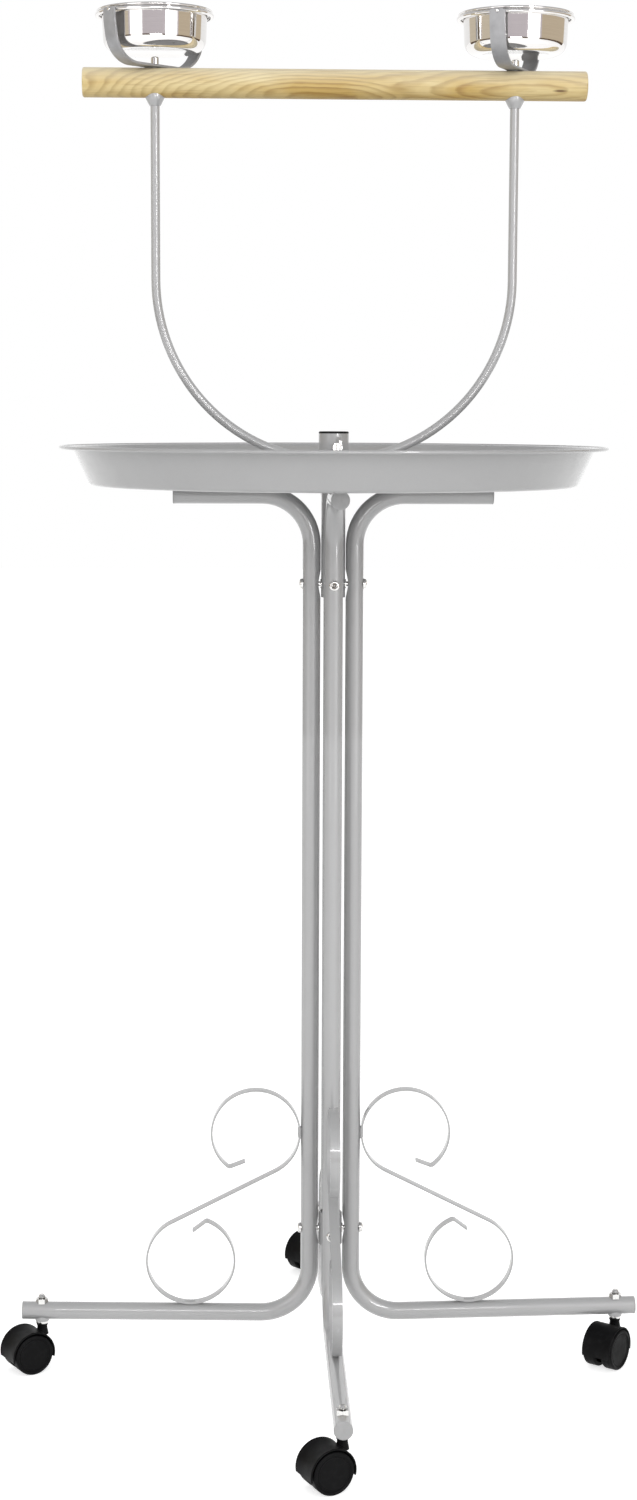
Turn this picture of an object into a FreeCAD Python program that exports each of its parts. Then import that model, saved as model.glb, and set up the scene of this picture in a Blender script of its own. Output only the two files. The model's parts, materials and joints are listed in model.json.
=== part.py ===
"""Parrot play stand: four bent tubes round a centre post, a lift-off tray and perch, four casters.

Units are millimetres. +Z is up, -Y is the front, and the origin lies on the floor under the
centre post. Every separate piece is one STEP file in parts/.
"""
import FreeCAD, Part

import math
import os

Vector = FreeCAD.Vector
ORIGIN = Vector(0, 0, 0)
UP = Vector(0, 0, 1)
OUTWARD = Vector(1, 0, 0)
REARWARD = Vector(0, 1, 0)
SAME = 1e-6  # how near two measures are when they count as equal

# ---- fits ----
MOVING_GAP = 0.3          # air between two pieces that move apart
RUNNING_CLEARANCE = 0.06  # radial, a shaft in its bore
CUT_MARGIN = 2.0          # how far a cutting solid stands past what it cuts

# ---- the four bent tubes ----
TUBE_DIAMETER = 16.4
TUBE_WALL = 1.2
TUBE_RADIUS = TUBE_DIAMETER / 2
POST_DIAMETER = 22.0
POST_WALL = 1.6
POST_RADIUS = POST_DIAMETER / 2
POST_TO_TUBE_GAP = 0.4
COLUMN_OFFSET = POST_RADIUS + POST_TO_TUBE_GAP + TUBE_RADIUS
BEND_RADIUS = 45.0
LEG_REACH = 290.6
LEG_HEIGHT = 55.6         # of the middle line, at the caster's stem
LEG_RISE = 1.0            # degrees, towards the tip
ARM_REACH = 145.6
ARM_HEIGHT = 823.2
SIDES = {"right": 0, "rear": 90, "left": 180, "front": 270}

# ---- crushed seats where the screws pull the tubes in ----
CRUSH_DEPTH = 2.4
CRUSH_HALF_HEIGHT = 13.0
CRUSH_TIP_RADIUS = 5.0

# ---- end caps ----
CAP_FLANGE = 1.6
CAP_ROUND = 1.3
CAP_PLUG_LENGTH = 8.0

# ---- frame screws and the threaded inserts that they grip ----
UPPER_SCREW_HEIGHT = 742.6
LOWER_SCREW_HEIGHT = 134.7
SCREW_SHANK_RADIUS = 2.2
SCREW_TIP_FROM_AXIS = 3.8
SCREW_HEAD_RADIUS = 4.7
SCREW_HEAD_HEIGHT = 3.4
SCREW_HEAD_SEAT = 0.5
SCREW_HEAD_ROUND = 1.7
CROSS_LENGTH = 5.2
CROSS_WIDTH = 1.1
CROSS_DEPTH = 1.8
CROSS_TURN = 45.0         # degrees from upright
INSERT_BODY_RADIUS = 3.4
INSERT_INNER_END = 5.0
INSERT_FLANGE_RADIUS = 4.4
INSERT_FLANGE_PROUD = 0.7
INSERT_FLANGE_SUNK = 0.3

# ---- centre post and lower connector ----
POST_BOTTOM = 730.4
POST_TOP = 868.0
CONNECTOR_HALF_HEIGHT = 16.0
CONNECTOR_CHAMFER = 1.0

# ---- scrolls ----
STRIP_WIDTH = 9.0
STRIP_THICKNESS = 1.6
SCROLL_RADIUS = 41.3      # to the middle of the strip
SCROLL_UPPER_HEIGHT = 227.2
SCROLL_LOWER_REACH = 132.4
SCROLL_AIR = 0.4          # closed by the weld
SCROLL_UPPER_END = -50.0  # degrees round the upper loop, where its tab starts
SCROLL_LOWER_END = 114.0  # degrees round the lower loop, where its tab starts
TAB_LENGTH = 14.0
TAB_BEND = 61.0
TAB_BEND_RADIUS = 3.4
WELD_LENGTH = 12.0
WELD_RADIUS = 2.6
WELD_ROUND = 2.3

# ---- tray ----
TRAY_SHEET = 1.2
TRAY_BOTTOM = ARM_HEIGHT + TUBE_RADIUS + MOVING_GAP
TRAY_HOLE_RADIUS = 11.9
TRAY_HOLE_LIP = 3.6       # how far the hole's edge turns down
TRAY_HOLE_BEND = 0.9
TRAY_FLOOR_RADIUS = 220.2
TRAY_WALL_TOP_RADIUS = 235.0
TRAY_RIM_RADIUS = 247.6
TRAY_RIM_TOP = 867.3
TRAY_BEAD_RADIUS = 1.6
TRAY_FLOOR_BEND = 5.0
TRAY_RIM_BEND = 3.0

# ---- perch ----
PERCH_DIAMETER = 26.0
PERCH_RADIUS = PERCH_DIAMETER / 2
PERCH_LENGTH = 448.0
PERCH_HEIGHT = 1186.0
PERCH_TOP = PERCH_HEIGHT + PERCH_RADIUS
PERCH_END_ROUND = 1.6
FERRULE_TOP_RADIUS = 8.6
FERRULE_FOOT_RADIUS = 5.0
FERRULE_CONE_HEIGHT = 6.8
FERRULE_SKIRT = 4.0

# ---- sleeve and U-shaped hanger ----
SLEEVE_DIAMETER = 27.2
SLEEVE_RADIUS = SLEEVE_DIAMETER / 2
SLEEVE_BORE_RADIUS = POST_RADIUS + RUNNING_CLEARANCE
SLEEVE_BOTTOM = TRAY_BOTTOM + TRAY_SHEET + MOVING_GAP
SLEEVE_TOP = 878.6
SLEEVE_CAP_TOP = 880.4
SLEEVE_CAP_ROUND = 1.2
SLEEVE_CAP_PLUG = 8.0
ROD_DIAMETER = 8.2
ROD_RADIUS = ROD_DIAMETER / 2
HANGER_RADIUS = 160.0
HANGER_ARC_HEIGHT = 1014.4
ROD_START_IN_SLEEVE = 9.0
STUD_RADIUS = 2.5
STUD_TOP = PERCH_TOP + 7.4
STUD_CHAMFER = 0.5

# ---- thumb screw in the sleeve ----
THUMB_TURN = 9.0          # degrees to the right of straight ahead
THUMB_HEIGHT = 866.0
THUMB_SHANK_RADIUS = 3.0
THUMB_PLATE_WIDTH = 20.0
THUMB_PLATE_LENGTH = 13.0
THUMB_PLATE_THICKNESS = 2.4
THUMB_PLATE_ROUND = 5.5
THUMB_PLATE_START = 17.5
THUMB_SHOULDER_RADIUS = 4.6
THUMB_SHOULDER_START = 14.4

# ---- cup holders ----
HOLDER_STRAP_WIDTH = 14.0
HOLDER_STRAP_THICKNESS = 2.0
HOLDER_BOTTOM = PERCH_TOP + MOVING_GAP
HOLDER_LOWER_RADIUS = 48.0   # to the middle of the strap, where it starts to rise
HOLDER_UPPER_RADIUS = 53.5
HOLDER_STRAP_TOP = PERCH_TOP + 46.2
HOLDER_CORNER_RADIUS = 27.0
HOLDER_JOGGLE_HEIGHT = PERCH_TOP + 36.0
HOLDER_JOGGLE_RADIUS = 30.0
HOLDER_END_ROUND = 3.0
HOOP_WIRE_RADIUS = 1.9
HOOP_TOP = PERCH_TOP + 46.4
HOOP_HEIGHT = HOOP_TOP - HOOP_WIRE_RADIUS
HOOP_RADIUS = HOLDER_UPPER_RADIUS - HOLDER_STRAP_THICKNESS / 2 - HOOP_WIRE_RADIUS
RIVET_RADIUS = 1.1
RIVET_HEAD_RADIUS = 1.7
RIVET_HEAD_HEIGHT = 1.0
RIVET_HEAD_CHAMFER = 0.6
HOLDER_NUT_RADIUS = 3.5
HOLDER_NUT_TOP = PERCH_TOP + 9.4
HOLDER_NUT_ROUND = 1.2
HOLDER_TURNS = {"left": 224.8, "right": 246.3}  # degrees, where each strap's front arm points

# ---- cups ----
CUP_SHEET = 1.0
CUP_BOTTOM = PERCH_TOP + 13.2
CUP_TOP = PERCH_TOP + 49.0
CUP_WALL_FOOT_RADIUS = 45.2
CUP_WALL_TOP_RADIUS = 46.6
CUP_LIP_RADIUS = 51.2
CUP_LIP_BEAD = 1.1
CUP_LIP_SLOPE = 0.6
CUP_CORNER_RADIUS = 11.0
CUP_LIP_BEND = 2.0
CUP_PAD_RADIUS = 26.0
CUP_PAD_DEPTH = 0.8
CUP_PAD_STEP = 3.0
CUP_PAD_BEND = 2.5

# ---- casters ----
STEM_FROM_AXIS = 272.0
STEM_RADIUS = 3.2
STEM_TOP = LEG_HEIGHT + 15.8
STEM_BOTTOM = 35.2
STEM_CHAMFER = 1.4
STEM_NUT_FLATS = 10.0
STEM_NUT_SEAT = LEG_HEIGHT + 7.3
STEM_NUT_HEIGHT = 4.8
WASHER_RADIUS = 5.9
WASHER_HEIGHT = 2.4
BOSS_RADIUS = 6.5
BOSS_BOTTOM = LEG_HEIGHT - 9.4
BOSS_TOP = LEG_HEIGHT - 3.4
WHEEL_RADIUS = 19.0
WHEEL_OUTER_FACE = 15.4   # from the caster's middle plane
WHEEL_INNER_FACE = 3.6
WHEEL_EDGE_ROUND = 1.2
WHEEL_DISH_RADIUS = 16.2
WHEEL_DISH_DEPTH = 0.8
WHEEL_HUB_RADIUS = 6.0
WHEEL_HUB_RISE = 0.5
WHEEL_BACK_RIM = 15.6
WHEEL_BACK_HUB = 5.6
WHEEL_BACK_DEPTH = 6.5
AXLE_RADIUS = 2.4
AXLE_HALF_LENGTH = 11.0
CASTER_TRAIL = 15.5
HOOD_INNER_RADIUS = 19.7
HOOD_OUTER_RADIUS = 21.4
HOOD_HALF_WIDTH = 14.8
HOOD_START = -13.0        # degrees about the axle, level with the stem
HOOD_SWEEP = 205.0
HOOD_EDGE_ROUND = 0.6
WEB_HALF_THICKNESS = 3.2
WEB_HUB_RADIUS = 8.0
NECK_RADIUS = 4.7
NECK_TOP = BOSS_BOTTOM - WASHER_HEIGHT - MOVING_GAP
NECK_RING_RADIUS = 5.3
NECK_RING_HEIGHT = 1.6
NECK_BOTTOM = 33.0
CASTER_HEADINGS = {"right": 232.7, "rear": 222.7, "left": 210.7, "front": 205.5}


def polar(radius, degrees, height=0.0):
    """Return the point at this radius and bearing round the Z axis."""
    turn = math.radians(degrees)
    return Vector(radius * math.cos(turn), radius * math.sin(turn), height)


def turned(shape, degrees, centre=ORIGIN, axis=UP):
    """Return a copy of the shape turned about an axis."""
    copy = shape.copy()
    copy.rotate(centre, axis, degrees)
    return copy


def moved(shape, offset):
    """Return a copy of the shape moved by a vector."""
    copy = shape.copy()
    copy.translate(offset)
    return copy


def rounded_path(corners, radii):
    """Return a wire of straight runs through the corners, joined by tangent arcs of the radii."""
    edges = []
    start = corners[0]
    for before, corner, after, radius in zip(corners, corners[1:], corners[2:], radii):
        back = (before - corner).normalize()
        ahead = (after - corner).normalize()
        half_angle = back.getAngle(ahead) / 2
        run = radius / math.tan(half_angle)
        arc_start = corner + back * run
        arc_end = corner + ahead * run
        inward = (back + ahead).normalize()
        arc_middle = corner + inward * (radius / math.sin(half_angle) - radius)
        edges.append(Part.makeLine(start, arc_start))
        edges.append(Part.Arc(arc_start, arc_middle, arc_end).toShape())
        start = arc_end
    edges.append(Part.makeLine(start, corners[-1]))
    return Part.Wire(edges)


def round_bar(path, radius):
    """Return a solid bar of round section along a wire."""
    first = path.OrderedEdges[0]
    circle = Part.makeCircle(radius, first.valueAt(first.FirstParameter), tangent_at_start(first))
    return path.makePipeShell([Part.Wire(circle)], True, False)


def tangent_at_start(edge):
    """Return the direction in which an edge leaves its first point."""
    return edge.tangentAt(edge.FirstParameter)


def flat_bar(path, width, thickness):
    """Return a solid strip along a wire that lies in the XZ plane, with its width along Y."""
    first = path.OrderedEdges[0]
    start = first.valueAt(first.FirstParameter)
    across = tangent_at_start(first).cross(REARWARD).normalize() * (thickness / 2)
    along = REARWARD * (width / 2)
    corners = [start + across + along, start + across - along,
               start - across - along, start - across + along]
    section = Part.makePolygon(corners + corners[:1])
    return path.makePipeShell([section], True, False)


def spun_sheet(path, thickness):
    """Return a thin-walled solid of revolution from a wire in the XZ plane."""
    section = path.makeOffset2D(thickness, 0, True, True, False)
    return section.revolve(ORIGIN, UP, 360)


def spun_profile(corners):
    """Return a solid of revolution about Z from (radius, height) corners."""
    points = [Vector(radius, 0, height) for radius, height in corners]
    face = Part.Face(Part.makePolygon(points + points[:1]))
    return face.revolve(ORIGIN, UP, 360)


def hexagon_nut(flats, height, hole_radius, bottom):
    """Return an upright hexagon nut with its corners cut back, its lower face at this height."""
    corner_radius = flats / math.sqrt(3)
    corners = [polar(corner_radius, 60 * step, bottom) for step in range(6)]
    prism = Part.Face(Part.makePolygon(corners + corners[:1])).extrude(UP * height)
    bevel = corner_radius - flats / 2
    envelope = Part.makeCylinder(corner_radius, height, Vector(0, 0, bottom))
    envelope = envelope.makeChamfer(bevel / 2, bevel, [envelope.Edges[0]])
    hole = Part.makeCylinder(hole_radius, height, Vector(0, 0, bottom))
    return prism.common(envelope).cut(hole)


def level_edges(shape, height):
    """Return the edges that lie flat at this height."""
    return [edge for edge in shape.Edges
            if abs(edge.BoundBox.ZMin - height) < SAME and abs(edge.BoundBox.ZMax - height) < SAME]


def outer_rim(shape, height):
    """Return the longest edge that lies flat at this height."""
    return max(level_edges(shape, height), key=lambda edge: edge.Length)


def round_the_clock(shape):
    """Return the shape repeated at each of the four sides."""
    return [turned(shape, angle) for angle in SIDES.values()]


# ---- frame ----

def crush(height):
    """Return the shallow valley that a screw pulls into the inner face of the right-hand tube."""
    face_x = COLUMN_OFFSET - TUBE_RADIUS
    stretch = (CRUSH_DEPTH + CUT_MARGIN) / CRUSH_DEPTH
    mouth_half = CRUSH_HALF_HEIGHT * stretch
    corners = [Vector(face_x - CUT_MARGIN, -TUBE_RADIUS, height - mouth_half),
               Vector(face_x + CRUSH_DEPTH, -TUBE_RADIUS, height),
               Vector(face_x - CUT_MARGIN, -TUBE_RADIUS, height + mouth_half)]
    valley = rounded_path(corners, [CRUSH_TIP_RADIUS])
    mouth = Part.makeLine(corners[-1], corners[0])
    face = Part.Face(Part.Wire(valley.OrderedEdges + [mouth]))
    return face.extrude(REARWARD * TUBE_DIAMETER)


def stem_hole():
    """Return the space that the caster stem takes in the right-hand leg."""
    return Part.makeCylinder(STEM_RADIUS, STEM_TOP, Vector(STEM_FROM_AXIS, 0, 0))


def leg_point(reach, above=0.0):
    """Return a point at this distance above the middle line of the right-hand leg, square to it."""
    rise = math.radians(LEG_RISE)
    foot = Vector(reach, 0, LEG_HEIGHT + (reach - STEM_FROM_AXIS) * math.tan(rise))
    return foot + Vector(-math.sin(rise), 0, math.cos(rise)) * above


def arm_seat():
    """Return the middle of the right-hand arm's open end."""
    return Vector(ARM_REACH - CAP_FLANGE, 0, ARM_HEIGHT)


def leg_seat():
    """Return the middle of the right-hand leg's open end."""
    return leg_point(LEG_REACH - CAP_FLANGE)


def tube_path():
    """Return the middle line of the right-hand tube: top arm, column and leg."""
    corners = [arm_seat(), Vector(COLUMN_OFFSET, 0, ARM_HEIGHT), leg_point(COLUMN_OFFSET), leg_seat()]
    return rounded_path(corners, [BEND_RADIUS, BEND_RADIUS])


def bent_tube():
    """Return the right-hand tube in one piece, crushed and drilled for its fasteners."""
    outside = round_bar(tube_path(), TUBE_RADIUS)
    inside = round_bar(tube_path(), TUBE_RADIUS - TUBE_WALL)
    for height in (UPPER_SCREW_HEIGHT, LOWER_SCREW_HEIGHT):
        valley = crush(height)
        outside = outside.cut(valley)
        inside = inside.cut(moved(valley, OUTWARD * TUBE_WALL))
    boss = Part.makeCylinder(BOSS_RADIUS, BOSS_TOP - BOSS_BOTTOM,
                             Vector(STEM_FROM_AXIS, 0, BOSS_BOTTOM))
    tube = outside.fuse(boss).cut(inside).cut(stem_hole())
    nut_seat = moved(stem_nut(), OUTWARD * STEM_FROM_AXIS)
    screws = [frame_screw(height) for height in (UPPER_SCREW_HEIGHT, LOWER_SCREW_HEIGHT)]
    return tube.cut([nut_seat, *screws])


def end_cap():
    """Return a plug with a rounded flange for a tube's end, lying along X with its seat at the origin."""
    plug = Part.makeCylinder(TUBE_RADIUS - TUBE_WALL, CAP_PLUG_LENGTH, UP * -CAP_PLUG_LENGTH)
    flange = Part.makeCylinder(TUBE_RADIUS, CAP_FLANGE)
    flange = flange.makeFillet(CAP_ROUND, level_edges(flange, CAP_FLANGE))
    return turned(flange.fuse(plug), 90, axis=REARWARD)


def end_caps(seat, rise=0.0):
    """Return four caps for the tubes' ends, from the right-hand one's seat and its rise in degrees."""
    cap = moved(turned(end_cap(), -rise, axis=REARWARD), seat)
    return Part.makeCompound(round_the_clock(cap))


def cross_recess():
    """Return the cross-shaped driver recess, opening upwards from the XY plane."""
    bar = Part.makeBox(CROSS_LENGTH, CROSS_WIDTH, CROSS_DEPTH,
                       Vector(-CROSS_LENGTH / 2, -CROSS_WIDTH / 2, -CROSS_DEPTH))
    return bar.fuse(turned(bar, 90))


def frame_screw(height):
    """Return one pan-head screw, entering the right-hand tube from outside at this height."""
    head_seat = COLUMN_OFFSET + TUBE_RADIUS - SCREW_HEAD_SEAT
    head = Part.makeCylinder(SCREW_HEAD_RADIUS, SCREW_HEAD_HEIGHT)
    head = head.makeFillet(SCREW_HEAD_ROUND, level_edges(head, SCREW_HEAD_HEIGHT))
    head = head.cut(moved(turned(cross_recess(), CROSS_TURN), UP * SCREW_HEAD_HEIGHT))
    shank_length = head_seat - SCREW_TIP_FROM_AXIS
    shank = Part.makeCylinder(SCREW_SHANK_RADIUS, shank_length, UP * -shank_length)
    screw = turned(head.fuse(shank), 90, axis=REARWARD)
    return moved(screw, Vector(head_seat, 0, height))


def frame_screws(height):
    """Return the four screws at one height."""
    return Part.makeCompound(round_the_clock(frame_screw(height)))


def insert_blank(height):
    """Return one threaded insert without its bore, in the right-hand side of the post."""
    body = Part.makeCylinder(INSERT_BODY_RADIUS, POST_RADIUS - INSERT_INNER_END,
                             Vector(INSERT_INNER_END, 0, height), OUTWARD)
    flange = Part.makeCylinder(INSERT_FLANGE_RADIUS, INSERT_FLANGE_SUNK + INSERT_FLANGE_PROUD,
                               Vector(POST_RADIUS - INSERT_FLANGE_SUNK, 0, height), OUTWARD)
    return body.fuse(flange)


def threaded_inserts(height):
    """Return the four inserts at one height, bored for their screws."""
    insert = insert_blank(height).cut(frame_screw(height))
    return Part.makeCompound(round_the_clock(insert))


def pipe_piece(bottom, top, outer_radius, inner_radius):
    """Return an upright length of pipe on the Z axis."""
    height = top - bottom
    outside = Part.makeCylinder(outer_radius, height, UP * bottom)
    return outside.cut(Part.makeCylinder(inner_radius, height, UP * bottom))


def centre_post():
    """Return the short post between the tubes, which carries the tray's hole and the sleeve."""
    post = pipe_piece(POST_BOTTOM, POST_TOP, POST_RADIUS, POST_RADIUS - POST_WALL)
    return post.cut(round_the_clock(insert_blank(UPPER_SCREW_HEIGHT)))


def lower_connector():
    """Return the short piece of pipe that the tubes are screwed to above the legs."""
    bottom = LOWER_SCREW_HEIGHT - CONNECTOR_HALF_HEIGHT
    top = LOWER_SCREW_HEIGHT + CONNECTOR_HALF_HEIGHT
    pipe = pipe_piece(bottom, top, POST_RADIUS, POST_RADIUS - POST_WALL)
    rims = [outer_rim(pipe, bottom), outer_rim(pipe, top)]
    pipe = pipe.makeChamfer(CONNECTOR_CHAMFER, rims)
    return pipe.cut(round_the_clock(insert_blank(LOWER_SCREW_HEIGHT)))


# ---- scrolls ----

def loop_point(centre, degrees):
    """Return a point on a scroll's loop, on the middle line of its strip."""
    turn = math.radians(degrees)
    return centre + Vector(math.cos(turn), 0, math.sin(turn)) * SCROLL_RADIUS


def loop_arc(centre, first, last):
    """Return the part of a loop between two bearings."""
    return Part.Arc(loop_point(centre, first), loop_point(centre, (first + last) / 2),
                    loop_point(centre, last)).toShape()


def tab_edges(centre, degrees):
    """Return the short sharp bend and the straight tab that follow a loop's clockwise end."""
    start = loop_point(centre, degrees)
    heading = math.radians(degrees - 90)
    pivot_heading = heading - math.pi / 2
    pivot = start + Vector(math.cos(pivot_heading), 0, math.sin(pivot_heading)) * TAB_BEND_RADIUS

    def on_bend(turn):
        bearing = pivot_heading + math.pi - turn
        return pivot + Vector(math.cos(bearing), 0, math.sin(bearing)) * TAB_BEND_RADIUS

    bend = math.radians(TAB_BEND)
    bend_end = on_bend(bend)
    direction = heading - bend
    tab_end = bend_end + Vector(math.cos(direction), 0, math.sin(direction)) * TAB_LENGTH
    return [Part.Arc(start, on_bend(bend / 2), bend_end).toShape(), Part.makeLine(bend_end, tab_end)]


def scroll_path():
    """Return the S-shaped middle line of the right-hand scroll."""
    upper = Vector(COLUMN_OFFSET + TUBE_RADIUS + SCROLL_AIR + STRIP_THICKNESS / 2 + SCROLL_RADIUS,
                   0, SCROLL_UPPER_HEIGHT)
    lower = leg_point(SCROLL_LOWER_REACH,
                      TUBE_RADIUS + SCROLL_AIR + STRIP_THICKNESS / 2 + SCROLL_RADIUS)
    across = lower - upper
    lean = math.degrees(math.atan2(across.z, across.x))
    crossing = math.degrees(math.acos(SCROLL_RADIUS / (across.Length / 2)))
    leaves_upper = lean - crossing
    leaves_lower = leaves_upper + 180
    diagonal = Part.makeLine(loop_point(upper, leaves_upper), loop_point(lower, leaves_lower))
    upper_loop = loop_arc(upper, leaves_upper + 360, SCROLL_UPPER_END)
    lower_loop = loop_arc(lower, leaves_lower, SCROLL_LOWER_END - 360)
    edges = [*tab_edges(upper, SCROLL_UPPER_END)[::-1], upper_loop, diagonal,
             lower_loop, *tab_edges(lower, SCROLL_LOWER_END - 360)]
    return Part.Wire(Part.sortEdges(edges)[0])


def weld(centre, axis):
    """Return a weld bead at a contact, lying along an axis."""
    bead = Part.makeCylinder(WELD_RADIUS, WELD_LENGTH, centre - axis * (WELD_LENGTH / 2), axis)
    return bead.makeFillet(WELD_ROUND, [edge for edge in bead.Edges if edge.Closed])


def scroll():
    """Return the right-hand scroll with its two welds, cut to sit on the tube."""
    strip = flat_bar(scroll_path(), STRIP_WIDTH, STRIP_THICKNESS)
    seam = TUBE_RADIUS + SCROLL_AIR
    column_weld = weld(Vector(COLUMN_OFFSET + seam, 0, SCROLL_UPPER_HEIGHT), UP)
    along_leg = (leg_seat() - leg_point(STEM_FROM_AXIS)).normalize()
    leg_weld = weld(leg_point(SCROLL_LOWER_REACH, seam), along_leg)
    return strip.fuse([column_weld, leg_weld]).cut(round_bar(tube_path(), TUBE_RADIUS))


# ---- tray ----

def tray_pan():
    """Return the round tray: turned-down hole, flat floor, sloping wall, level rim and rolled edge."""
    flange_height = TRAY_RIM_TOP - TRAY_BEAD_RADIUS - TRAY_SHEET / 2
    lip_radius = TRAY_HOLE_RADIUS + TRAY_SHEET
    path = rounded_path([Vector(lip_radius, 0, TRAY_BOTTOM - TRAY_HOLE_LIP),
                         Vector(lip_radius, 0, TRAY_BOTTOM),
                         Vector(TRAY_FLOOR_RADIUS, 0, TRAY_BOTTOM),
                         Vector(TRAY_WALL_TOP_RADIUS, 0, flange_height),
                         Vector(TRAY_RIM_RADIUS - TRAY_BEAD_RADIUS, 0, flange_height)],
                        [TRAY_HOLE_BEND, TRAY_FLOOR_BEND, TRAY_RIM_BEND])
    pan = spun_sheet(path, TRAY_SHEET)
    bead = Part.makeTorus(TRAY_RIM_RADIUS - TRAY_BEAD_RADIUS, TRAY_BEAD_RADIUS,
                          UP * (TRAY_RIM_TOP - TRAY_BEAD_RADIUS))
    return pan.fuse(bead)


# ---- hanger ----

def thumb_axis():
    """Return the outward direction of the thumb screw."""
    return polar(1, THUMB_TURN - 90)


def sleeve():
    """Return the sleeve that slides over the post, with its screw hole."""
    pipe = pipe_piece(SLEEVE_BOTTOM, SLEEVE_TOP, SLEEVE_RADIUS, SLEEVE_BORE_RADIUS)
    screw_hole = Part.makeCylinder(THUMB_SHANK_RADIUS + RUNNING_CLEARANCE, SLEEVE_DIAMETER,
                                   UP * THUMB_HEIGHT, thumb_axis())
    return pipe.cut(screw_hole)


def sleeve_cap():
    """Return the plastic plug that closes the top of the sleeve."""
    flange = Part.makeCylinder(SLEEVE_RADIUS, SLEEVE_CAP_TOP - SLEEVE_TOP, UP * SLEEVE_TOP)
    flange = flange.makeFillet(SLEEVE_CAP_ROUND, level_edges(flange, SLEEVE_CAP_TOP))
    plug = Part.makeCylinder(SLEEVE_BORE_RADIUS, SLEEVE_CAP_PLUG, UP * (SLEEVE_TOP - SLEEVE_CAP_PLUG))
    return flange.fuse(plug)


def hanger_rod():
    """Return the right half of the U: welded to the sleeve, curving up to a threaded end."""
    centre = UP * HANGER_ARC_HEIGHT
    start_turn = math.asin(ROD_START_IN_SLEEVE / HANGER_RADIUS)

    def on_arc(turn):
        return centre + Vector(math.sin(turn), 0, -math.cos(turn)) * HANGER_RADIUS

    quarter = math.pi / 2
    arc = Part.Arc(on_arc(start_turn), on_arc((start_turn + quarter) / 2), on_arc(quarter)).toShape()
    shoulder = PERCH_HEIGHT - PERCH_RADIUS
    straight = Part.makeLine(on_arc(quarter), Vector(HANGER_RADIUS, 0, shoulder))
    rod = round_bar(Part.Wire([arc, straight]), ROD_RADIUS)
    stud = Part.makeCylinder(STUD_RADIUS, STUD_TOP - shoulder, Vector(HANGER_RADIUS, 0, shoulder))
    stud = stud.makeChamfer(STUD_CHAMFER, level_edges(stud, STUD_TOP))
    inside_sleeve = Part.makeCylinder(SLEEVE_RADIUS, SLEEVE_TOP - SLEEVE_BOTTOM, UP * SLEEVE_BOTTOM)
    return rod.fuse(stud).cut(inside_sleeve)


def perch_dowel(rod):
    """Return the wooden perch, lying along X, with two holes for the rods' threaded ends."""
    dowel = Part.makeCylinder(PERCH_RADIUS, PERCH_LENGTH,
                              Vector(-PERCH_LENGTH / 2, 0, PERCH_HEIGHT), OUTWARD)
    dowel = dowel.makeFillet(PERCH_END_ROUND, [edge for edge in dowel.Edges if edge.Closed])
    return dowel.cut([rod, turned(rod, 180)])


def perch_ferrules(rod, dowel):
    """Return the two cones that carry the perch on the rods."""
    foot = PERCH_HEIGHT - PERCH_RADIUS - FERRULE_CONE_HEIGHT
    cone = Part.makeCone(FERRULE_FOOT_RADIUS, FERRULE_TOP_RADIUS, FERRULE_CONE_HEIGHT,
                         Vector(HANGER_RADIUS, 0, foot))
    skirt = Part.makeCylinder(FERRULE_TOP_RADIUS, FERRULE_SKIRT,
                              Vector(HANGER_RADIUS, 0, foot + FERRULE_CONE_HEIGHT))
    ferrule = cone.fuse(skirt).cut([rod, dowel])
    return Part.makeCompound([ferrule, turned(ferrule, 180)])


def holder_nuts():
    """Return the two round cap nuts that keep the cup holders on the threaded ends."""
    bottom = HOLDER_BOTTOM + HOLDER_STRAP_THICKNESS + MOVING_GAP
    nut = Part.makeCylinder(HOLDER_NUT_RADIUS, HOLDER_NUT_TOP - bottom, Vector(HANGER_RADIUS, 0, bottom))
    nut = nut.makeFillet(HOLDER_NUT_ROUND, level_edges(nut, HOLDER_NUT_TOP))
    stud = Part.makeCylinder(STUD_RADIUS, STUD_TOP - bottom, Vector(HANGER_RADIUS, 0, bottom))
    nut = nut.cut(stud)
    return Part.makeCompound([nut, turned(nut, 180)])


def thumb_screw():
    """Return the flat-headed screw that locks the sleeve to the post."""
    tip = POST_RADIUS + MOVING_GAP
    shank = Part.makeCylinder(THUMB_SHANK_RADIUS, THUMB_PLATE_START - tip, OUTWARD * tip, OUTWARD)
    shoulder = Part.makeCylinder(THUMB_SHOULDER_RADIUS, THUMB_PLATE_START - THUMB_SHOULDER_START,
                                 OUTWARD * THUMB_SHOULDER_START, OUTWARD)
    half_width = THUMB_PLATE_WIDTH / 2
    plate = Part.makeBox(THUMB_PLATE_LENGTH, THUMB_PLATE_THICKNESS, THUMB_PLATE_WIDTH,
                         Vector(THUMB_PLATE_START, -THUMB_PLATE_THICKNESS / 2, -half_width))
    corners = [edge for edge in plate.Edges
               if edge.BoundBox.YLength > THUMB_PLATE_THICKNESS / 2
               and edge.BoundBox.XLength < MOVING_GAP and edge.BoundBox.ZLength < MOVING_GAP]
    plate = plate.makeFillet(THUMB_PLATE_ROUND, corners)
    screw = shank.fuse([shoulder, plate]).removeSplitter()
    return moved(turned(screw, THUMB_TURN - 90), UP * THUMB_HEIGHT)


# ---- cup holders and cups ----

def strap_side(sign):
    """Return the corners of one half of the strap's middle line, from its foot to its top."""
    foot = HOLDER_BOTTOM + HOLDER_STRAP_THICKNESS / 2
    return [Vector(sign * HOLDER_LOWER_RADIUS, 0, foot),
            Vector(sign * HOLDER_UPPER_RADIUS, 0, HOLDER_JOGGLE_HEIGHT),
            Vector(sign * HOLDER_UPPER_RADIUS, 0, HOLDER_STRAP_TOP)]


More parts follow.
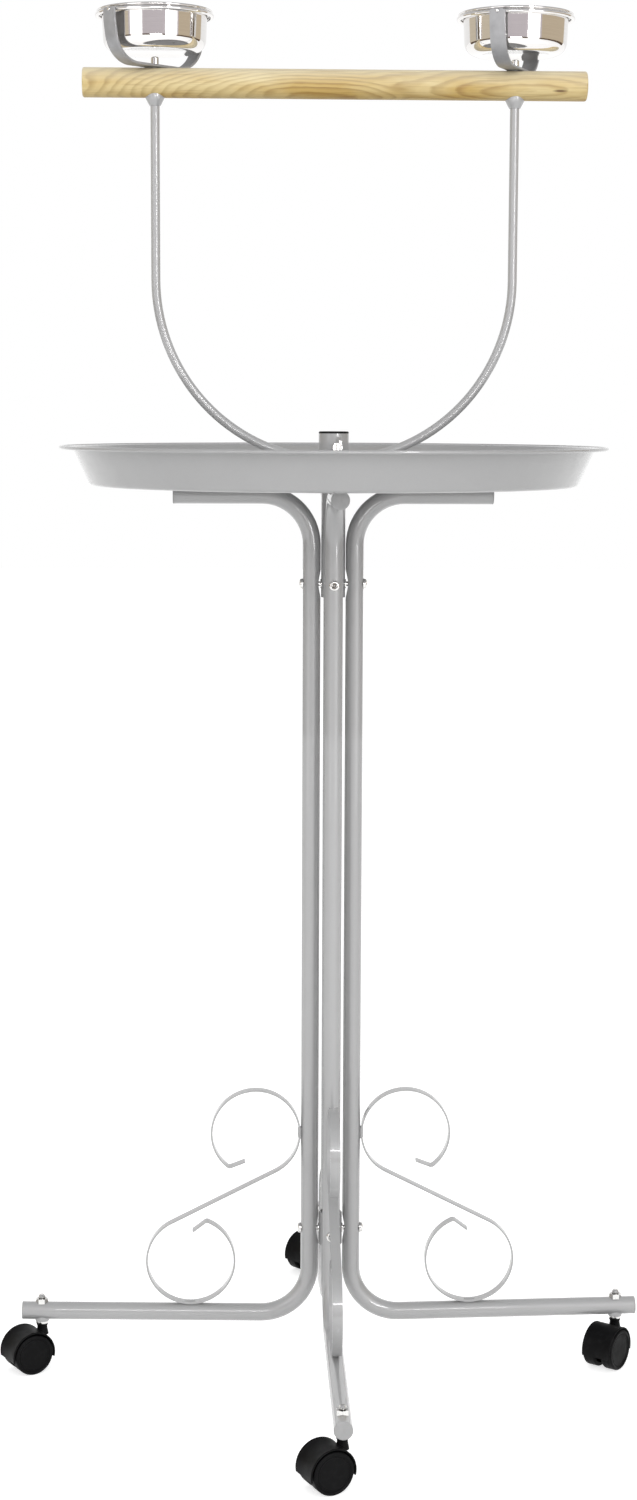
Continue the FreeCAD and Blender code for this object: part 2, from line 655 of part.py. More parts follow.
def rivet():
    """Return one rivet through the strap into the hoop, on the side of positive X."""
    outer = HOLDER_UPPER_RADIUS + HOLDER_STRAP_THICKNESS / 2
    shank = Part.makeCylinder(RIVET_RADIUS, outer - HOOP_RADIUS, Vector(HOOP_RADIUS, 0, HOOP_HEIGHT), OUTWARD)
    head = Part.makeCylinder(RIVET_HEAD_RADIUS, RIVET_HEAD_HEIGHT, Vector(outer, 0, HOOP_HEIGHT), OUTWARD)
    far_edge = max(head.Edges, key=lambda edge: edge.BoundBox.XMin)
    return head.makeChamfer(RIVET_HEAD_CHAMFER, [far_edge]).fuse(shank)


def rivet_pair():
    """Return the two rivets of one holder."""
    return [rivet(), turned(rivet(), 180)]


def holder_hoop():
    """Return the round wire hoop that the cup's lip rests on."""
    hoop = Part.makeTorus(HOOP_RADIUS, HOOP_WIRE_RADIUS, UP * HOOP_HEIGHT)
    return hoop.cut(rivet_pair())


def holder_strap():
    """Return the U-shaped strap under a cup, with round ends and a hole for the threaded end."""
    corners = strap_side(-1)[::-1] + strap_side(1)
    radii = [HOLDER_JOGGLE_RADIUS, HOLDER_CORNER_RADIUS, HOLDER_CORNER_RADIUS, HOLDER_JOGGLE_RADIUS]
    strap = flat_bar(rounded_path(corners, radii), HOLDER_STRAP_WIDTH, HOLDER_STRAP_THICKNESS)
    tips = [edge for edge in strap.Edges
            if abs(edge.BoundBox.ZMin - HOLDER_STRAP_TOP) < SAME and edge.BoundBox.YLength < SAME
            and abs(edge.Length - HOLDER_STRAP_THICKNESS) < SAME]
    strap = strap.makeFillet(HOLDER_END_ROUND, tips)
    hole = Part.makeCylinder(STUD_RADIUS + RUNNING_CLEARANCE, HOLDER_STRAP_THICKNESS,
                             UP * HOLDER_BOTTOM)
    return strap.cut([hole, *rivet_pair()])


def cup():
    """Return a spun steel cup on the Z axis: raised pad, round corner, wall and rolled lip."""
    lip_height = CUP_TOP - CUP_LIP_BEAD - CUP_SHEET / 2
    path = rounded_path([Vector(0, 0, CUP_BOTTOM + CUP_PAD_DEPTH),
                         Vector(CUP_PAD_RADIUS, 0, CUP_BOTTOM + CUP_PAD_DEPTH),
                         Vector(CUP_PAD_RADIUS + CUP_PAD_STEP, 0, CUP_BOTTOM),
                         Vector(CUP_WALL_FOOT_RADIUS, 0, CUP_BOTTOM),
                         Vector(CUP_WALL_TOP_RADIUS, 0, lip_height - CUP_LIP_SLOPE),
                         Vector(CUP_LIP_RADIUS - CUP_LIP_BEAD, 0, lip_height)],
                        [CUP_PAD_BEND, CUP_PAD_BEND, CUP_CORNER_RADIUS, CUP_LIP_BEND])
    bowl = spun_sheet(path, CUP_SHEET)
    bead = Part.makeTorus(CUP_LIP_RADIUS - CUP_LIP_BEAD, CUP_LIP_BEAD, UP * (CUP_TOP - CUP_LIP_BEAD))
    return bowl.fuse(bead)


# ---- casters: the stem stands on the Z axis, the wheels trail towards +X ----

AXLE_CENTRE = Vector(CASTER_TRAIL, 0, WHEEL_RADIUS)


def stem_nut():
    """Return the nut on top of the leg, on a stem that stands on the Z axis."""
    return hexagon_nut(STEM_NUT_FLATS, STEM_NUT_HEIGHT, STEM_RADIUS, STEM_NUT_SEAT)


def caster_stem():
    """Return the threaded stem that carries one caster."""
    stem = Part.makeCylinder(STEM_RADIUS, STEM_TOP - STEM_BOTTOM, UP * STEM_BOTTOM)
    return stem.makeChamfer(STEM_CHAMFER, level_edges(stem, STEM_TOP))


def stem_washer():
    """Return the washer between the leg's boss and the caster."""
    return pipe_piece(BOSS_BOTTOM - WASHER_HEIGHT, BOSS_BOTTOM, WASHER_RADIUS, STEM_RADIUS)


def at_the_stems(shape):
    """Return four copies of a piece, one at each leg's stem."""
    return Part.makeCompound(round_the_clock(moved(shape, OUTWARD * STEM_FROM_AXIS)))


def axle_cylinder(radius, first, last):
    """Return a cylinder round the axle between two distances from the middle plane."""
    start = AXLE_CENTRE + REARWARD * first
    return Part.makeCylinder(radius, last - first, start, REARWARD)


def hood():
    """Return the curved cover over both wheels, a part turn round the axle."""
    section = Part.makePlane(HOOD_OUTER_RADIUS - HOOD_INNER_RADIUS, 2 * HOOD_HALF_WIDTH,
                             Vector(CASTER_TRAIL - HOOD_OUTER_RADIUS, -HOOD_HALF_WIDTH, WHEEL_RADIUS),
                             UP, OUTWARD)
    cover = section.revolve(AXLE_CENTRE, REARWARD, HOOD_SWEEP)
    return turned(cover, HOOD_START, AXLE_CENTRE, REARWARD)


def web():
    """Return the plate between the wheels: the hood's sector and a round hub for the axle."""
    plate = axle_cylinder(HOOD_OUTER_RADIUS - HOOD_EDGE_ROUND, -WEB_HALF_THICKNESS, WEB_HALF_THICKNESS)
    side = 2 * HOOD_OUTER_RADIUS
    lower_half = Part.makeBox(2 * side, side, side, AXLE_CENTRE - Vector(side, side / 2, side))
    hub = axle_cylinder(WEB_HUB_RADIUS, -WEB_HALF_THICKNESS, WEB_HALF_THICKNESS)
    return plate.cut(lower_half).fuse(hub)


def caster_housing():
    """Return the moulded hood, web and swivel neck in one piece."""
    neck = Part.makeCylinder(NECK_RADIUS, NECK_TOP - NECK_BOTTOM, UP * NECK_BOTTOM)
    ring = Part.makeCylinder(NECK_RING_RADIUS, NECK_RING_HEIGHT, UP * (NECK_TOP - NECK_RING_HEIGHT))
    body = hood().fuse([web(), neck, ring])
    bore = Part.makeCylinder(STEM_RADIUS + RUNNING_CLEARANCE, NECK_TOP - STEM_BOTTOM + MOVING_GAP,
                             UP * (STEM_BOTTOM - MOVING_GAP))
    axle_bore = axle_cylinder(AXLE_RADIUS, -WHEEL_RADIUS, WHEEL_RADIUS)
    return body.cut([bore, axle_bore]).removeSplitter()


def caster_axle():
    """Return the steel pin that both wheels turn on."""
    return axle_cylinder(AXLE_RADIUS, -AXLE_HALF_LENGTH, AXLE_HALF_LENGTH)


def caster_wheel():
    """Return the wheel on the side of positive Y: dished face, hollow back and blind hub."""
    bore = AXLE_RADIUS + RUNNING_CLEARANCE
    outer = WHEEL_OUTER_FACE
    bore_end = AXLE_HALF_LENGTH + MOVING_GAP
    profile = [(0, outer - WHEEL_DISH_DEPTH + WHEEL_HUB_RISE),
               (WHEEL_HUB_RADIUS, outer - WHEEL_DISH_DEPTH + WHEEL_HUB_RISE),
               (WHEEL_HUB_RADIUS + WHEEL_HUB_RISE, outer - WHEEL_DISH_DEPTH),
               (WHEEL_DISH_RADIUS, outer - WHEEL_DISH_DEPTH),
               (WHEEL_DISH_RADIUS + WHEEL_DISH_DEPTH, outer),
               (WHEEL_RADIUS - WHEEL_EDGE_ROUND, outer),
               (WHEEL_RADIUS, outer - WHEEL_EDGE_ROUND),
               (WHEEL_RADIUS, WHEEL_INNER_FACE + WHEEL_EDGE_ROUND),
               (WHEEL_RADIUS - WHEEL_EDGE_ROUND, WHEEL_INNER_FACE),
               (WHEEL_BACK_RIM, WHEEL_INNER_FACE),
               (WHEEL_BACK_RIM, WHEEL_INNER_FACE + WHEEL_BACK_DEPTH),
               (WHEEL_BACK_HUB, WHEEL_INNER_FACE + WHEEL_BACK_DEPTH),
               (WHEEL_BACK_HUB, WHEEL_INNER_FACE),
               (bore, WHEEL_INNER_FACE),
               (bore, bore_end),
               (0, bore_end)]
    return moved(turned(spun_profile(profile), -90, axis=OUTWARD), AXLE_CENTRE)


def placed_caster(shape, side):
    """Return a caster piece turned to its heading and moved under its leg."""
    return moved(turned(shape, CASTER_HEADINGS[side]), polar(STEM_FROM_AXIS, SIDES[side]))


def frame_pieces():
    """Return the pieces of the standing frame by name."""
    tube = bent_tube()
    scroll_piece = scroll()
    pieces = {}
    for side, angle in SIDES.items():
        pieces[f"{side}_leg_tube"] = turned(tube, angle)
        pieces[f"{side}_scroll"] = turned(scroll_piece, angle)
    pieces["centre_post"] = centre_post()
    pieces["lower_connector"] = lower_connector()
    pieces["upper_frame_screws"] = frame_screws(UPPER_SCREW_HEIGHT)
    pieces["lower_frame_screws"] = frame_screws(LOWER_SCREW_HEIGHT)
    pieces["upper_threaded_inserts"] = threaded_inserts(UPPER_SCREW_HEIGHT)
    pieces["lower_threaded_inserts"] = threaded_inserts(LOWER_SCREW_HEIGHT)
    pieces["arm_end_caps"] = end_caps(arm_seat())
    pieces["leg_end_caps"] = end_caps(leg_seat(), LEG_RISE)
    pieces["caster_stems"] = at_the_stems(caster_stem())
    pieces["stem_nuts"] = at_the_stems(stem_nut())
    pieces["stem_washers"] = at_the_stems(stem_washer())
    return pieces


def hanger_pieces():
    """Return the tray, the sleeve, the U-shaped hanger and the perch by name."""
    rod = hanger_rod()
    dowel = perch_dowel(rod)
    return {"tray_pan": tray_pan(),
            "hanger_sleeve": sleeve(),
            "sleeve_cap": sleeve_cap(),
            "thumb_screw": thumb_screw(),
            "right_hanger_rod": rod,
            "left_hanger_rod": turned(rod, 180),
            "perch_dowel": dowel,
            "perch_ferrules": perch_ferrules(rod, dowel),
            "holder_nuts": holder_nuts()}


def cup_pieces():
    """Return both cups and their holders by name."""
    pieces = {}
    for side, bearing in HOLDER_TURNS.items():
        place = polar(HANGER_RADIUS, SIDES[side])
        pieces[f"{side}_holder_strap"] = moved(turned(holder_strap(), bearing), place)
        pieces[f"{side}_holder_hoop"] = moved(turned(holder_hoop(), bearing), place)
        rivets = Part.makeCompound(rivet_pair())
        pieces[f"{side}_holder_rivets"] = moved(turned(rivets, bearing), place)
        pieces[f"{side}_cup"] = moved(cup(), place)
    return pieces


def caster_pieces():
    """Return the moving pieces of the four casters by name."""
    wheel = caster_wheel()
    shapes = {"housing": caster_housing(),
              "axle": caster_axle(),
              "near_wheel": wheel,
              "far_wheel": turned(wheel, 180, AXLE_CENTRE, OUTWARD)}
    return {f"{side}_caster_{name}": placed_caster(shape, side)
            for side in SIDES for name, shape in shapes.items()}


def main():
    """Build every piece and write it to its own file."""
    os.makedirs("parts", exist_ok=True)
    pieces = {**frame_pieces(), **hanger_pieces(), **cup_pieces(), **caster_pieces()}
    for name, shape in pieces.items():
        shape.exportStep(f"parts/{name}.step")
        print(f"{name}: {len(shape.Solids)} solids, valid {shape.isValid()}, {shape.Volume:.0f} mm3")


main()
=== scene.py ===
"""Dress the parrot play stand: its finishes, its turned, moulded and welded details, and a plain studio.

Everything is in metres, in the frame of the solids: +Z up, -Y to the front, the floor at zero.
"""
import json
import logging
import math
from dataclasses import dataclass, field
from enum import Enum

import bmesh
import bpy
from mathutils import Matrix, Vector, noise


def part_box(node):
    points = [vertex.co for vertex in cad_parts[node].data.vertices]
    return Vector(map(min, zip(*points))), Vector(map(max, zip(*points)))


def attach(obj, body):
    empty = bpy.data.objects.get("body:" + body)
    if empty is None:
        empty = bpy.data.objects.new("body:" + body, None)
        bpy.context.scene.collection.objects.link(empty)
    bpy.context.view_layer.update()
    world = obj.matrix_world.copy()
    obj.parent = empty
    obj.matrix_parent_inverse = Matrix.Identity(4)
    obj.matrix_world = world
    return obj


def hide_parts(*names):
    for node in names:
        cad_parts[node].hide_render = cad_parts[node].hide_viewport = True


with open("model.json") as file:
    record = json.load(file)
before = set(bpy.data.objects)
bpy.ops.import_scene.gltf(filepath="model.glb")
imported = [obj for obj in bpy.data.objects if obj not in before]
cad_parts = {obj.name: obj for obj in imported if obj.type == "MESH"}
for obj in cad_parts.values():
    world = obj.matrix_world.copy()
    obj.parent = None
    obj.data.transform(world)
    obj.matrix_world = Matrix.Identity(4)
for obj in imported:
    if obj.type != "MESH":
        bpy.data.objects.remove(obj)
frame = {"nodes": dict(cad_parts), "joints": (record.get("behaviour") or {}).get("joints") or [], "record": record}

LOG = logging.getLogger("play_stand")
MM = 0.001
WELD_DISTANCE = 1e-6  # points nearer than this are one
SHARP_SHADING = 38.0  # degrees between faces, past which an edge is drawn sharp
Colour = tuple[float, float, float]


class Side(Enum):
    """The four sides of the stand, with the bearing of each."""

    RIGHT = 0.0
    REAR = 90.0
    LEFT = 180.0
    FRONT = 270.0

    @property
    def word(self) -> str:
        """Return the side's name as the solids use it."""
        return self.name.lower()


class Slot(Enum):
    """The record's material slots."""

    PAINTED_FRAME = "painted_frame"
    PAINTED_TRAY = "painted_tray"
    PERCH_WOOD = "perch_wood"
    CUP_STEEL = "cup_steel"
    HOLDER_STEEL = "holder_steel"
    ZINC = "zinc_fasteners"
    CASTER_PLASTIC = "caster_plastic"
    CAP_PLASTIC = "cap_plastic"
    SLEEVE_CAP = "sleeve_cap_plastic"
    AXLE_STEEL = "axle_steel"


# ---- finishes ----

class Graph:
    """The node tree of one material, with short calls for the nodes that the finishes share."""

    def __init__(self, name: str) -> None:
        """Start a material whose patterns read Object coordinates.

        Args:
            name: the material's name.
        """
        self.material = bpy.data.materials.new(name)
        self.material.use_nodes = True
        self.tree = self.material.node_tree
        self.surface = self.tree.nodes["Principled BSDF"]
        self.where = self.tree.nodes.new("ShaderNodeTexCoord").outputs["Object"]

    def add(self, kind: str, links: dict, **settings) -> bpy.types.Node:
        """Add a node, set its fields and fill its inputs.

        Args:
            kind: the node's type name without its ShaderNode prefix.
            links: input name or index to a socket, a number or a vector.
            settings: fields of the node.

        Returns:
            The new node.
        """
        node = self.tree.nodes.new(f"ShaderNode{kind}")
        for key, value in settings.items():
            setattr(node, key, value)
        for key, value in links.items():
            if isinstance(value, bpy.types.NodeSocket):
                self.tree.links.new(value, node.inputs[key])
            else:
                node.inputs[key].default_value = value
        return node

    def mapped(self, scale: Colour = (1, 1, 1), turn: Colour = (0, 0, 0),
               centre: Colour = (0, 0, 0)) -> bpy.types.NodeSocket:
        """Return Object coordinates seen from a centre, turned and stretched.

        Args:
            scale: stretch along each axis.
            turn: turn about each axis, in radians.
            centre: the point that becomes the pattern's origin.

        Returns:
            The vector socket.
        """
        moved = self.add("VectorMath", {0: self.where, 1: centre}, operation="SUBTRACT")
        return self.add("Mapping", {"Vector": moved.outputs[0], "Rotation": turn, "Scale": scale}).outputs[0]

    def noise(self, vector: bpy.types.NodeSocket, scale: float, detail: float = 2.0) -> bpy.types.NodeSocket:
        """Return a noise value from 0 to 1."""
        links = {"Vector": vector, "Scale": scale, "Detail": detail}
        return self.add("TexNoise", links).outputs["Fac"]

    def cells(self, scale: float) -> bpy.types.NodeSocket:
        """Return a grain of small cells, as a random grey for each."""
        cells = self.add("TexVoronoi", {"Vector": self.where, "Scale": scale})
        return self.add("SeparateColor", {0: cells.outputs["Color"]}).outputs[0]

    def rings(self, vector: bpy.types.NodeSocket, period: float, axis: str,
              wander: float = 0.0) -> bpy.types.NodeSocket:
        """Return rings round an axis.

        Args:
            vector: where the pattern is read.
            period: distance from ring to ring, in metres.
            axis: X, Y or Z.
            wander: how far the rings stray from circles.

        Returns:
            The value socket, from 0 to 1.
        """
        links = {"Vector": vector, "Scale": math.tau / (20 * period), "Distortion": wander,
                 "Detail": 2.0, "Detail Scale": 0.35}
        return self.add("TexWave", links, wave_type="RINGS", rings_direction=axis).outputs["Fac"]

    def spread(self, value: bpy.types.NodeSocket, low: float, high: float,
               first: float = 0.3, last: float = 0.7) -> bpy.types.NodeSocket:
        """Return a value stretched from the range first to last onto the range low to high."""
        links = {"Value": value, "From Min": first, "From Max": last, "To Min": low, "To Max": high}
        return self.add("MapRange", links).outputs[0]

    def blend(self, value: bpy.types.NodeSocket, low: Colour, high: Colour) -> bpy.types.NodeSocket:
        """Return a colour between two, by a value from 0 to 1."""
        return self.mix(value, (*low, 1), (*high, 1))

    def mix(self, value: bpy.types.NodeSocket, first: object, second: object,
            kind: str = "MIX") -> bpy.types.NodeSocket:
        """Return two colours mixed.

        Args:
            value: how much of the second.
            first: a colour or a colour socket.
            second: a colour or a colour socket.
            kind: the way to mix.

        Returns:
            The colour socket.
        """
        node = self.add("Mix", {0: value, 6: first, 7: second}, data_type="RGBA", blend_type=kind)
        return node.outputs[2]

    def bump(self, height: bpy.types.NodeSocket, depth: float,
             under: bpy.types.NodeSocket | None = None) -> bpy.types.NodeSocket:
        """Return a normal roughened by a height.

        Args:
            height: the height, from 0 to 1.
            depth: the height's real depth, in metres.
            under: a normal that this one is laid over.

        Returns:
            The normal socket.
        """
        links = {"Height": height, "Distance": depth, "Strength": 1.0}
        if under:
            links["Normal"] = under
        return self.add("Bump", links).outputs[0]

    def finish(self, **inputs) -> bpy.types.Material:
        """Fill the surface shader's inputs and return the material.

        Args:
            inputs: input names with underscores for spaces, to a socket, a number or a colour.

        Returns:
            The finished material.
        """
        for key, value in inputs.items():
            socket = self.surface.inputs[key.replace("_", " ")]
            if isinstance(value, bpy.types.NodeSocket):
                self.tree.links.new(value, socket)
            else:
                socket.default_value = value
        return self.material


@dataclass(frozen=True)
class Finish:
    """A finish by name, with the record's slot that it stands for."""

    name: str
    slot: Slot

    def material(self) -> bpy.types.Material:
        """Return the material, made once."""
        return bpy.data.materials.get(self.name) or self.make(Graph(self.name))

    def make(self, graph: Graph) -> bpy.types.Material:
        """Fill the graph and return its material."""
        raise NotImplementedError


@dataclass(frozen=True)
class Paint(Finish):
    """Silver-grey paint: a fine flake, a faint orange peel and a few dull patches."""

    colour: Colour = (0.408, 0.408, 0.41)
    gloss: float = 0.42
    peel: float = 0.006 * MM

    def make(self, graph: Graph) -> bpy.types.Material:
        """Fill the graph and return its material."""
        cloud = graph.spread(graph.noise(graph.where, 14.0, 4.0), 0.0, 1.0)
        dark = tuple(0.96 * part for part in self.colour)
        base = graph.blend(cloud, dark, self.colour)
        flake = graph.spread(graph.cells(2600.0), 0.0, 0.08, 0.0, 1.0)
        base = graph.mix(flake, base, (1, 1, 1, 1), "SOFT_LIGHT")
        rough = graph.spread(graph.noise(graph.where, 60.0, 5.0), self.gloss - 0.04, self.gloss + 0.07)
        peel = graph.noise(graph.where, 520.0, 1.0)
        return graph.finish(Base_Color=base, Roughness=rough, Metallic=0.08, Coat_Weight=1.0,
                            Coat_Roughness=0.035, Normal=graph.bump(peel, self.peel))


@dataclass(frozen=True)
class Wood(Finish):
    """Honey-coloured dowel whose growth rings arch round two swirls, with fine lengthwise pores, painted paler on
    top and darker underneath as painted light from above.
    """

    pale: Colour = (0.78, 0.66, 0.37)
    honey: Colour = (0.61, 0.43, 0.14)
    deep: Colour = (0.34, 0.19, 0.05)
    # colour of the painted highlight mixed into the top of the dowel
    bleach: Colour = (0.90, 0.85, 0.68)
    arch: Colour = (-0.014, -0.016, 1.148)
    arch_start: float = 22.0 * MM
    eye: Colour = (0.175, -0.010, 1.1815)
    knot: Colour = (0.199, -0.0118, 1.1805)
    ring: float = 3.5 * MM
    middle: float = 1.186
    radius: float = 13.0 * MM
    # colour of the painted shade multiplied into the underside of the dowel
    aged: Colour = (0.78, 0.66, 0.44)
    pore: Colour = (0.40, 0.24, 0.10)
    heartwood: Colour = (0.10, 0.035, 0.012)

    def shells(self, graph: Graph, centre: Colour, stretch: float) -> bpy.types.NodeSocket:
        """Return how far a point is from a swirl's heart, with the length drawn out.

        Args:
            graph: the material's graph.
            centre: the swirl's heart.
            stretch: how much of the distance along the dowel counts.

        Returns:
            The distance, in metres.
        """
        seen = graph.mapped((stretch, 1, 1), centre=centre)
        return graph.add("VectorMath", {0: seen}, operation="LENGTH").outputs["Value"]

    def depth(self, graph: Graph) -> bpy.types.NodeSocket:
        """Return the depth through the rings, wandering as a living trunk does."""
        arch = {0: self.shells(graph, self.arch, 0.36), 1: self.arch_start}
        outer = graph.add("Math", arch, operation="SUBTRACT").outputs[0]
        swirls = {0: outer, 1: self.shells(graph, self.eye, 0.15), 2: 0.004}
        near = graph.add("Math", swirls, operation="SMOOTH_MIN").outputs[0]
        wander = graph.spread(graph.noise(graph.mapped((8, 26, 26)), 1.0, 1.5), -3.0 * MM, 3.0 * MM)
        shiver = graph.spread(graph.noise(graph.mapped((70, 200, 200)), 1.0, 2.0), -0.3 * MM, 0.3 * MM)
        for stray in (wander, shiver):
            near = graph.add("Math", {0: near, 1: stray}, operation="ADD").outputs[0]
        return near

    def make(self, graph: Graph) -> bpy.types.Material:
        """Fill the graph and return its material."""
        count = graph.add("Math", {0: self.depth(graph), 1: self.ring}, operation="DIVIDE").outputs[0]
        year = graph.add("Math", {0: count}, operation="FRACT").outputs[0]
        late = graph.spread(year, 0.0, 1.0, 0.50, 0.92)
        early = graph.spread(year, 1.0, 0.0, 0.0, 0.14)
        line = graph.add("Math", {0: late, 1: early}, operation="MAXIMUM").outputs[0]
        cloud = graph.noise(graph.mapped((11, 45, 45)), 1.0, 3.0)
        pores = graph.noise(graph.mapped((26, 1100, 1100)), 1.0, 3.0)
        fibre = graph.noise(graph.mapped((9, 420, 420)), 1.0, 2.0)
        base = graph.blend(graph.spread(cloud, 0.0, 1.0, 0.38, 0.62), self.pale, self.honey)
        strength = graph.spread(cloud, 0.28, 0.72, 0.35, 0.65)
        shade = graph.add("Math", {0: line, 1: strength}, operation="MULTIPLY").outputs[0]
        base = graph.mix(shade, base, (*self.deep, 1))
        base = graph.mix(graph.spread(fibre, 0.0, 0.16), base, (*self.pale, 1))
        height = graph.add("SeparateXYZ", {0: graph.where}).outputs["Z"]
        # painted light: the top of the dowel is mixed paler, as if lit from above
        painted_top_light_mask = graph.spread(height, 0.0, 0.62, self.middle - 0.1 * self.radius, self.middle + self.radius)
        base = graph.mix(painted_top_light_mask, base, (*self.bleach, 1))
        # painted shade: the underside of the dowel is multiplied darker, as if shaded from above
        aged = graph.spread(height, 0.7, 0.0, self.middle - self.radius, self.middle + 0.2 * self.radius)
        base = graph.mix(aged, base, (*self.aged, 1), "MULTIPLY")
        base = graph.mix(graph.spread(pores, 0.0, 0.42, 0.56, 0.75), base, (*self.pore, 1), "MULTIPLY")
        dark = graph.spread(self.shells(graph, self.knot, 0.20), 0.85, 0.0, 0.5 * MM, 1.5 * MM)
        base = graph.mix(dark, base, (*self.heartwood, 1))
        rough = graph.spread(line, 0.50, 0.40, 0.0, 1.0)
        relief = graph.bump(pores, 0.05 * MM, graph.bump(line, 0.04 * MM))
        return graph.finish(Base_Color=base, Roughness=rough, Normal=relief, Specular_IOR_Level=0.35)


@dataclass(frozen=True)
class Polished(Finish):
    """Mirror-polished spun steel, with the faint rings of its spinning."""

    centre: Colour = (0, 0, 0)
    colour: Colour = (0.80, 0.785, 0.77)

    def make(self, graph: Graph) -> bpy.types.Material:
        """Fill the graph and return its material."""
        around = graph.rings(graph.mapped(centre=self.centre), 0.9 * MM, "Z", 0.3)
        streaks = graph.noise(graph.mapped((40, 40, 1400), centre=self.centre), 1.0, 3.0)
        smear = graph.noise(graph.where, 45.0, 4.0)
        rough = graph.spread(smear, 0.05, 0.08)
        tone = tuple(0.95 * part for part in self.colour)
        base = graph.blend(graph.spread(streaks, 0.0, 1.0), tone, self.colour)
        relief = graph.bump(streaks, 0.0012 * MM, graph.bump(around, 0.001 * MM))
        return graph.finish(Base_Color=base, Roughness=rough, Metallic=1.0, Normal=relief)


@dataclass(frozen=True)
class BareMetal(Finish):
    """Plain or plated steel with fine scratches, with painted shade darkening its crevices."""

    colour: Colour = (0.6, 0.6, 0.6)
    gloss: float = 0.3
    grain: Colour = (700, 700, 90)
    shine: float = 1.0
    # how far the painted crevice shade looks for nearby surfaces
    crevice: float = 1.4 * MM

    def make(self, graph: Graph) -> bpy.types.Material:
        """Fill the graph and return its material."""
        scratches = graph.noise(graph.mapped(self.grain), 1.0, 4.0)
        cloud = graph.noise(graph.where, 130.0, 3.0)
        tone = tuple(0.82 * part for part in self.colour)
        base = graph.blend(graph.spread(cloud, 0.0, 1.0), tone, self.colour)
        rough = graph.spread(scratches, self.gloss - 0.06, self.gloss + 0.10)
        # painted shade: the colour is darkened nearly to black where ambient occlusion finds crevices and recesses
        crevice_shade_occlusion = graph.add("AmbientOcclusion", {"Distance": self.crevice}, samples=8).outputs["AO"]
        base = graph.mix(graph.spread(crevice_shade_occlusion, 1.0, 0.0, 0.35, 0.85), base, (0.02, 0.02, 0.02, 1))
        return graph.finish(Base_Color=base, Roughness=rough, Metallic=self.shine,
                            Normal=graph.bump(scratches, 0.006 * MM))


@dataclass(frozen=True)
class Moulded(Finish):
    """Moulded plastic with a fine spark-eroded grain and scuffed high spots."""

    colour: Colour = (0.0032, 0.0032, 0.0036)
    scuff: Colour = (0.007, 0.007, 0.0075)
    gloss: float = 0.42
    specular: float = 0.09

    def make(self, graph: Graph) -> bpy.types.Material:
        """Fill the graph and return its material."""
        worn = graph.spread(graph.noise(graph.where, 210.0, 6.0), 0.0, 1.0, 0.48, 0.75)
        base = graph.blend(worn, self.colour, self.scuff)
        rough = graph.spread(graph.noise(graph.where, 90.0, 3.0), self.gloss, self.gloss + 0.14)
        grain = graph.noise(graph.where, 2400.0, 2.0)
        return graph.finish(Base_Color=base, Roughness=rough, Specular_IOR_Level=self.specular,
                            Normal=graph.bump(grain, 0.01 * MM))


FRAME_PAINT = Paint("silver_grey_paint", Slot.PAINTED_FRAME)
# the tray's paint is the frame's silver-grey, its colour darkened as painted shade to even out the brighter light
# the tray catches
SHADED_TRAY_PAINT = Paint("silver_grey_tray_paint", Slot.PAINTED_TRAY, (0.362, 0.362, 0.364), 0.46, 0.006 * MM)
PERCH_WOOD = Wood("honey_hardwood", Slot.PERCH_WOOD)
HOLDER_STEEL = BareMetal("satin_strap_steel", Slot.HOLDER_STEEL, (0.40, 0.40, 0.41), 0.40, (90, 90, 900),
                         0.25)
ZINC = BareMetal("bright_zinc", Slot.ZINC, (0.80, 0.795, 0.78), 0.16)
AXLE_STEEL = BareMetal("axle_pin_steel", Slot.AXLE_STEEL, (0.5, 0.5, 0.5), 0.35)
BLACK_NYLON = Moulded("black_nylon", Slot.CASTER_PLASTIC)
GREY_CAP = Moulded("grey_cap_plastic", Slot.CAP_PLASTIC, (0.40, 0.40, 0.402), (0.43, 0.43, 0.43), 0.45, 0.4)
DARK_CAP = Moulded("dark_cap_plastic", Slot.SLEEVE_CAP, (0.012, 0.012, 0.012), (0.025, 0.025, 0.025), 0.5)
NODE_FINISHES = {finish.slot.value: finish for finish in (
    FRAME_PAINT, SHADED_TRAY_PAINT, PERCH_WOOD, HOLDER_STEEL, ZINC, AXLE_STEEL, BLACK_NYLON, GREY_CAP, DARK_CAP)}
CUP_FINISHES = {side: Polished(f"{side.word}_cup_polish", Slot.CUP_STEEL,
                               tuple(sum(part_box(f"{side.word}_cup"), Vector()) / 2))
                for side in (Side.LEFT, Side.RIGHT)}


# ---- shapes ----

@dataclass
class Outline:
    """A line of (radius, height) points in metres, grown by straight runs and arcs."""

    points: list[tuple[float, float]] = field(default_factory=list)

    def to(self, radius: float, height: float) -> "Outline":
        """Add a point and return the outline."""
        self.points.append((radius, height))
        return self

    def arc(self, radius: float, height: float, size: float, first: float, last: float,
            steps: int = 6) -> "Outline":
        """Add an arc of points.

        Args:
            radius: the arc centre's distance from the axis.
            height: the arc centre's height.
            size: the arc's own radius.
            first: bearing of its first point, in degrees.
            last: bearing of its last point, in degrees.
            steps: how many pieces it has.

        Returns:
            The outline.
        """
        for step in range(steps + 1):
            turn = math.radians(first + (last - first) * step / steps)
            self.to(radius + size * math.cos(turn), height + size * math.sin(turn))
        return self


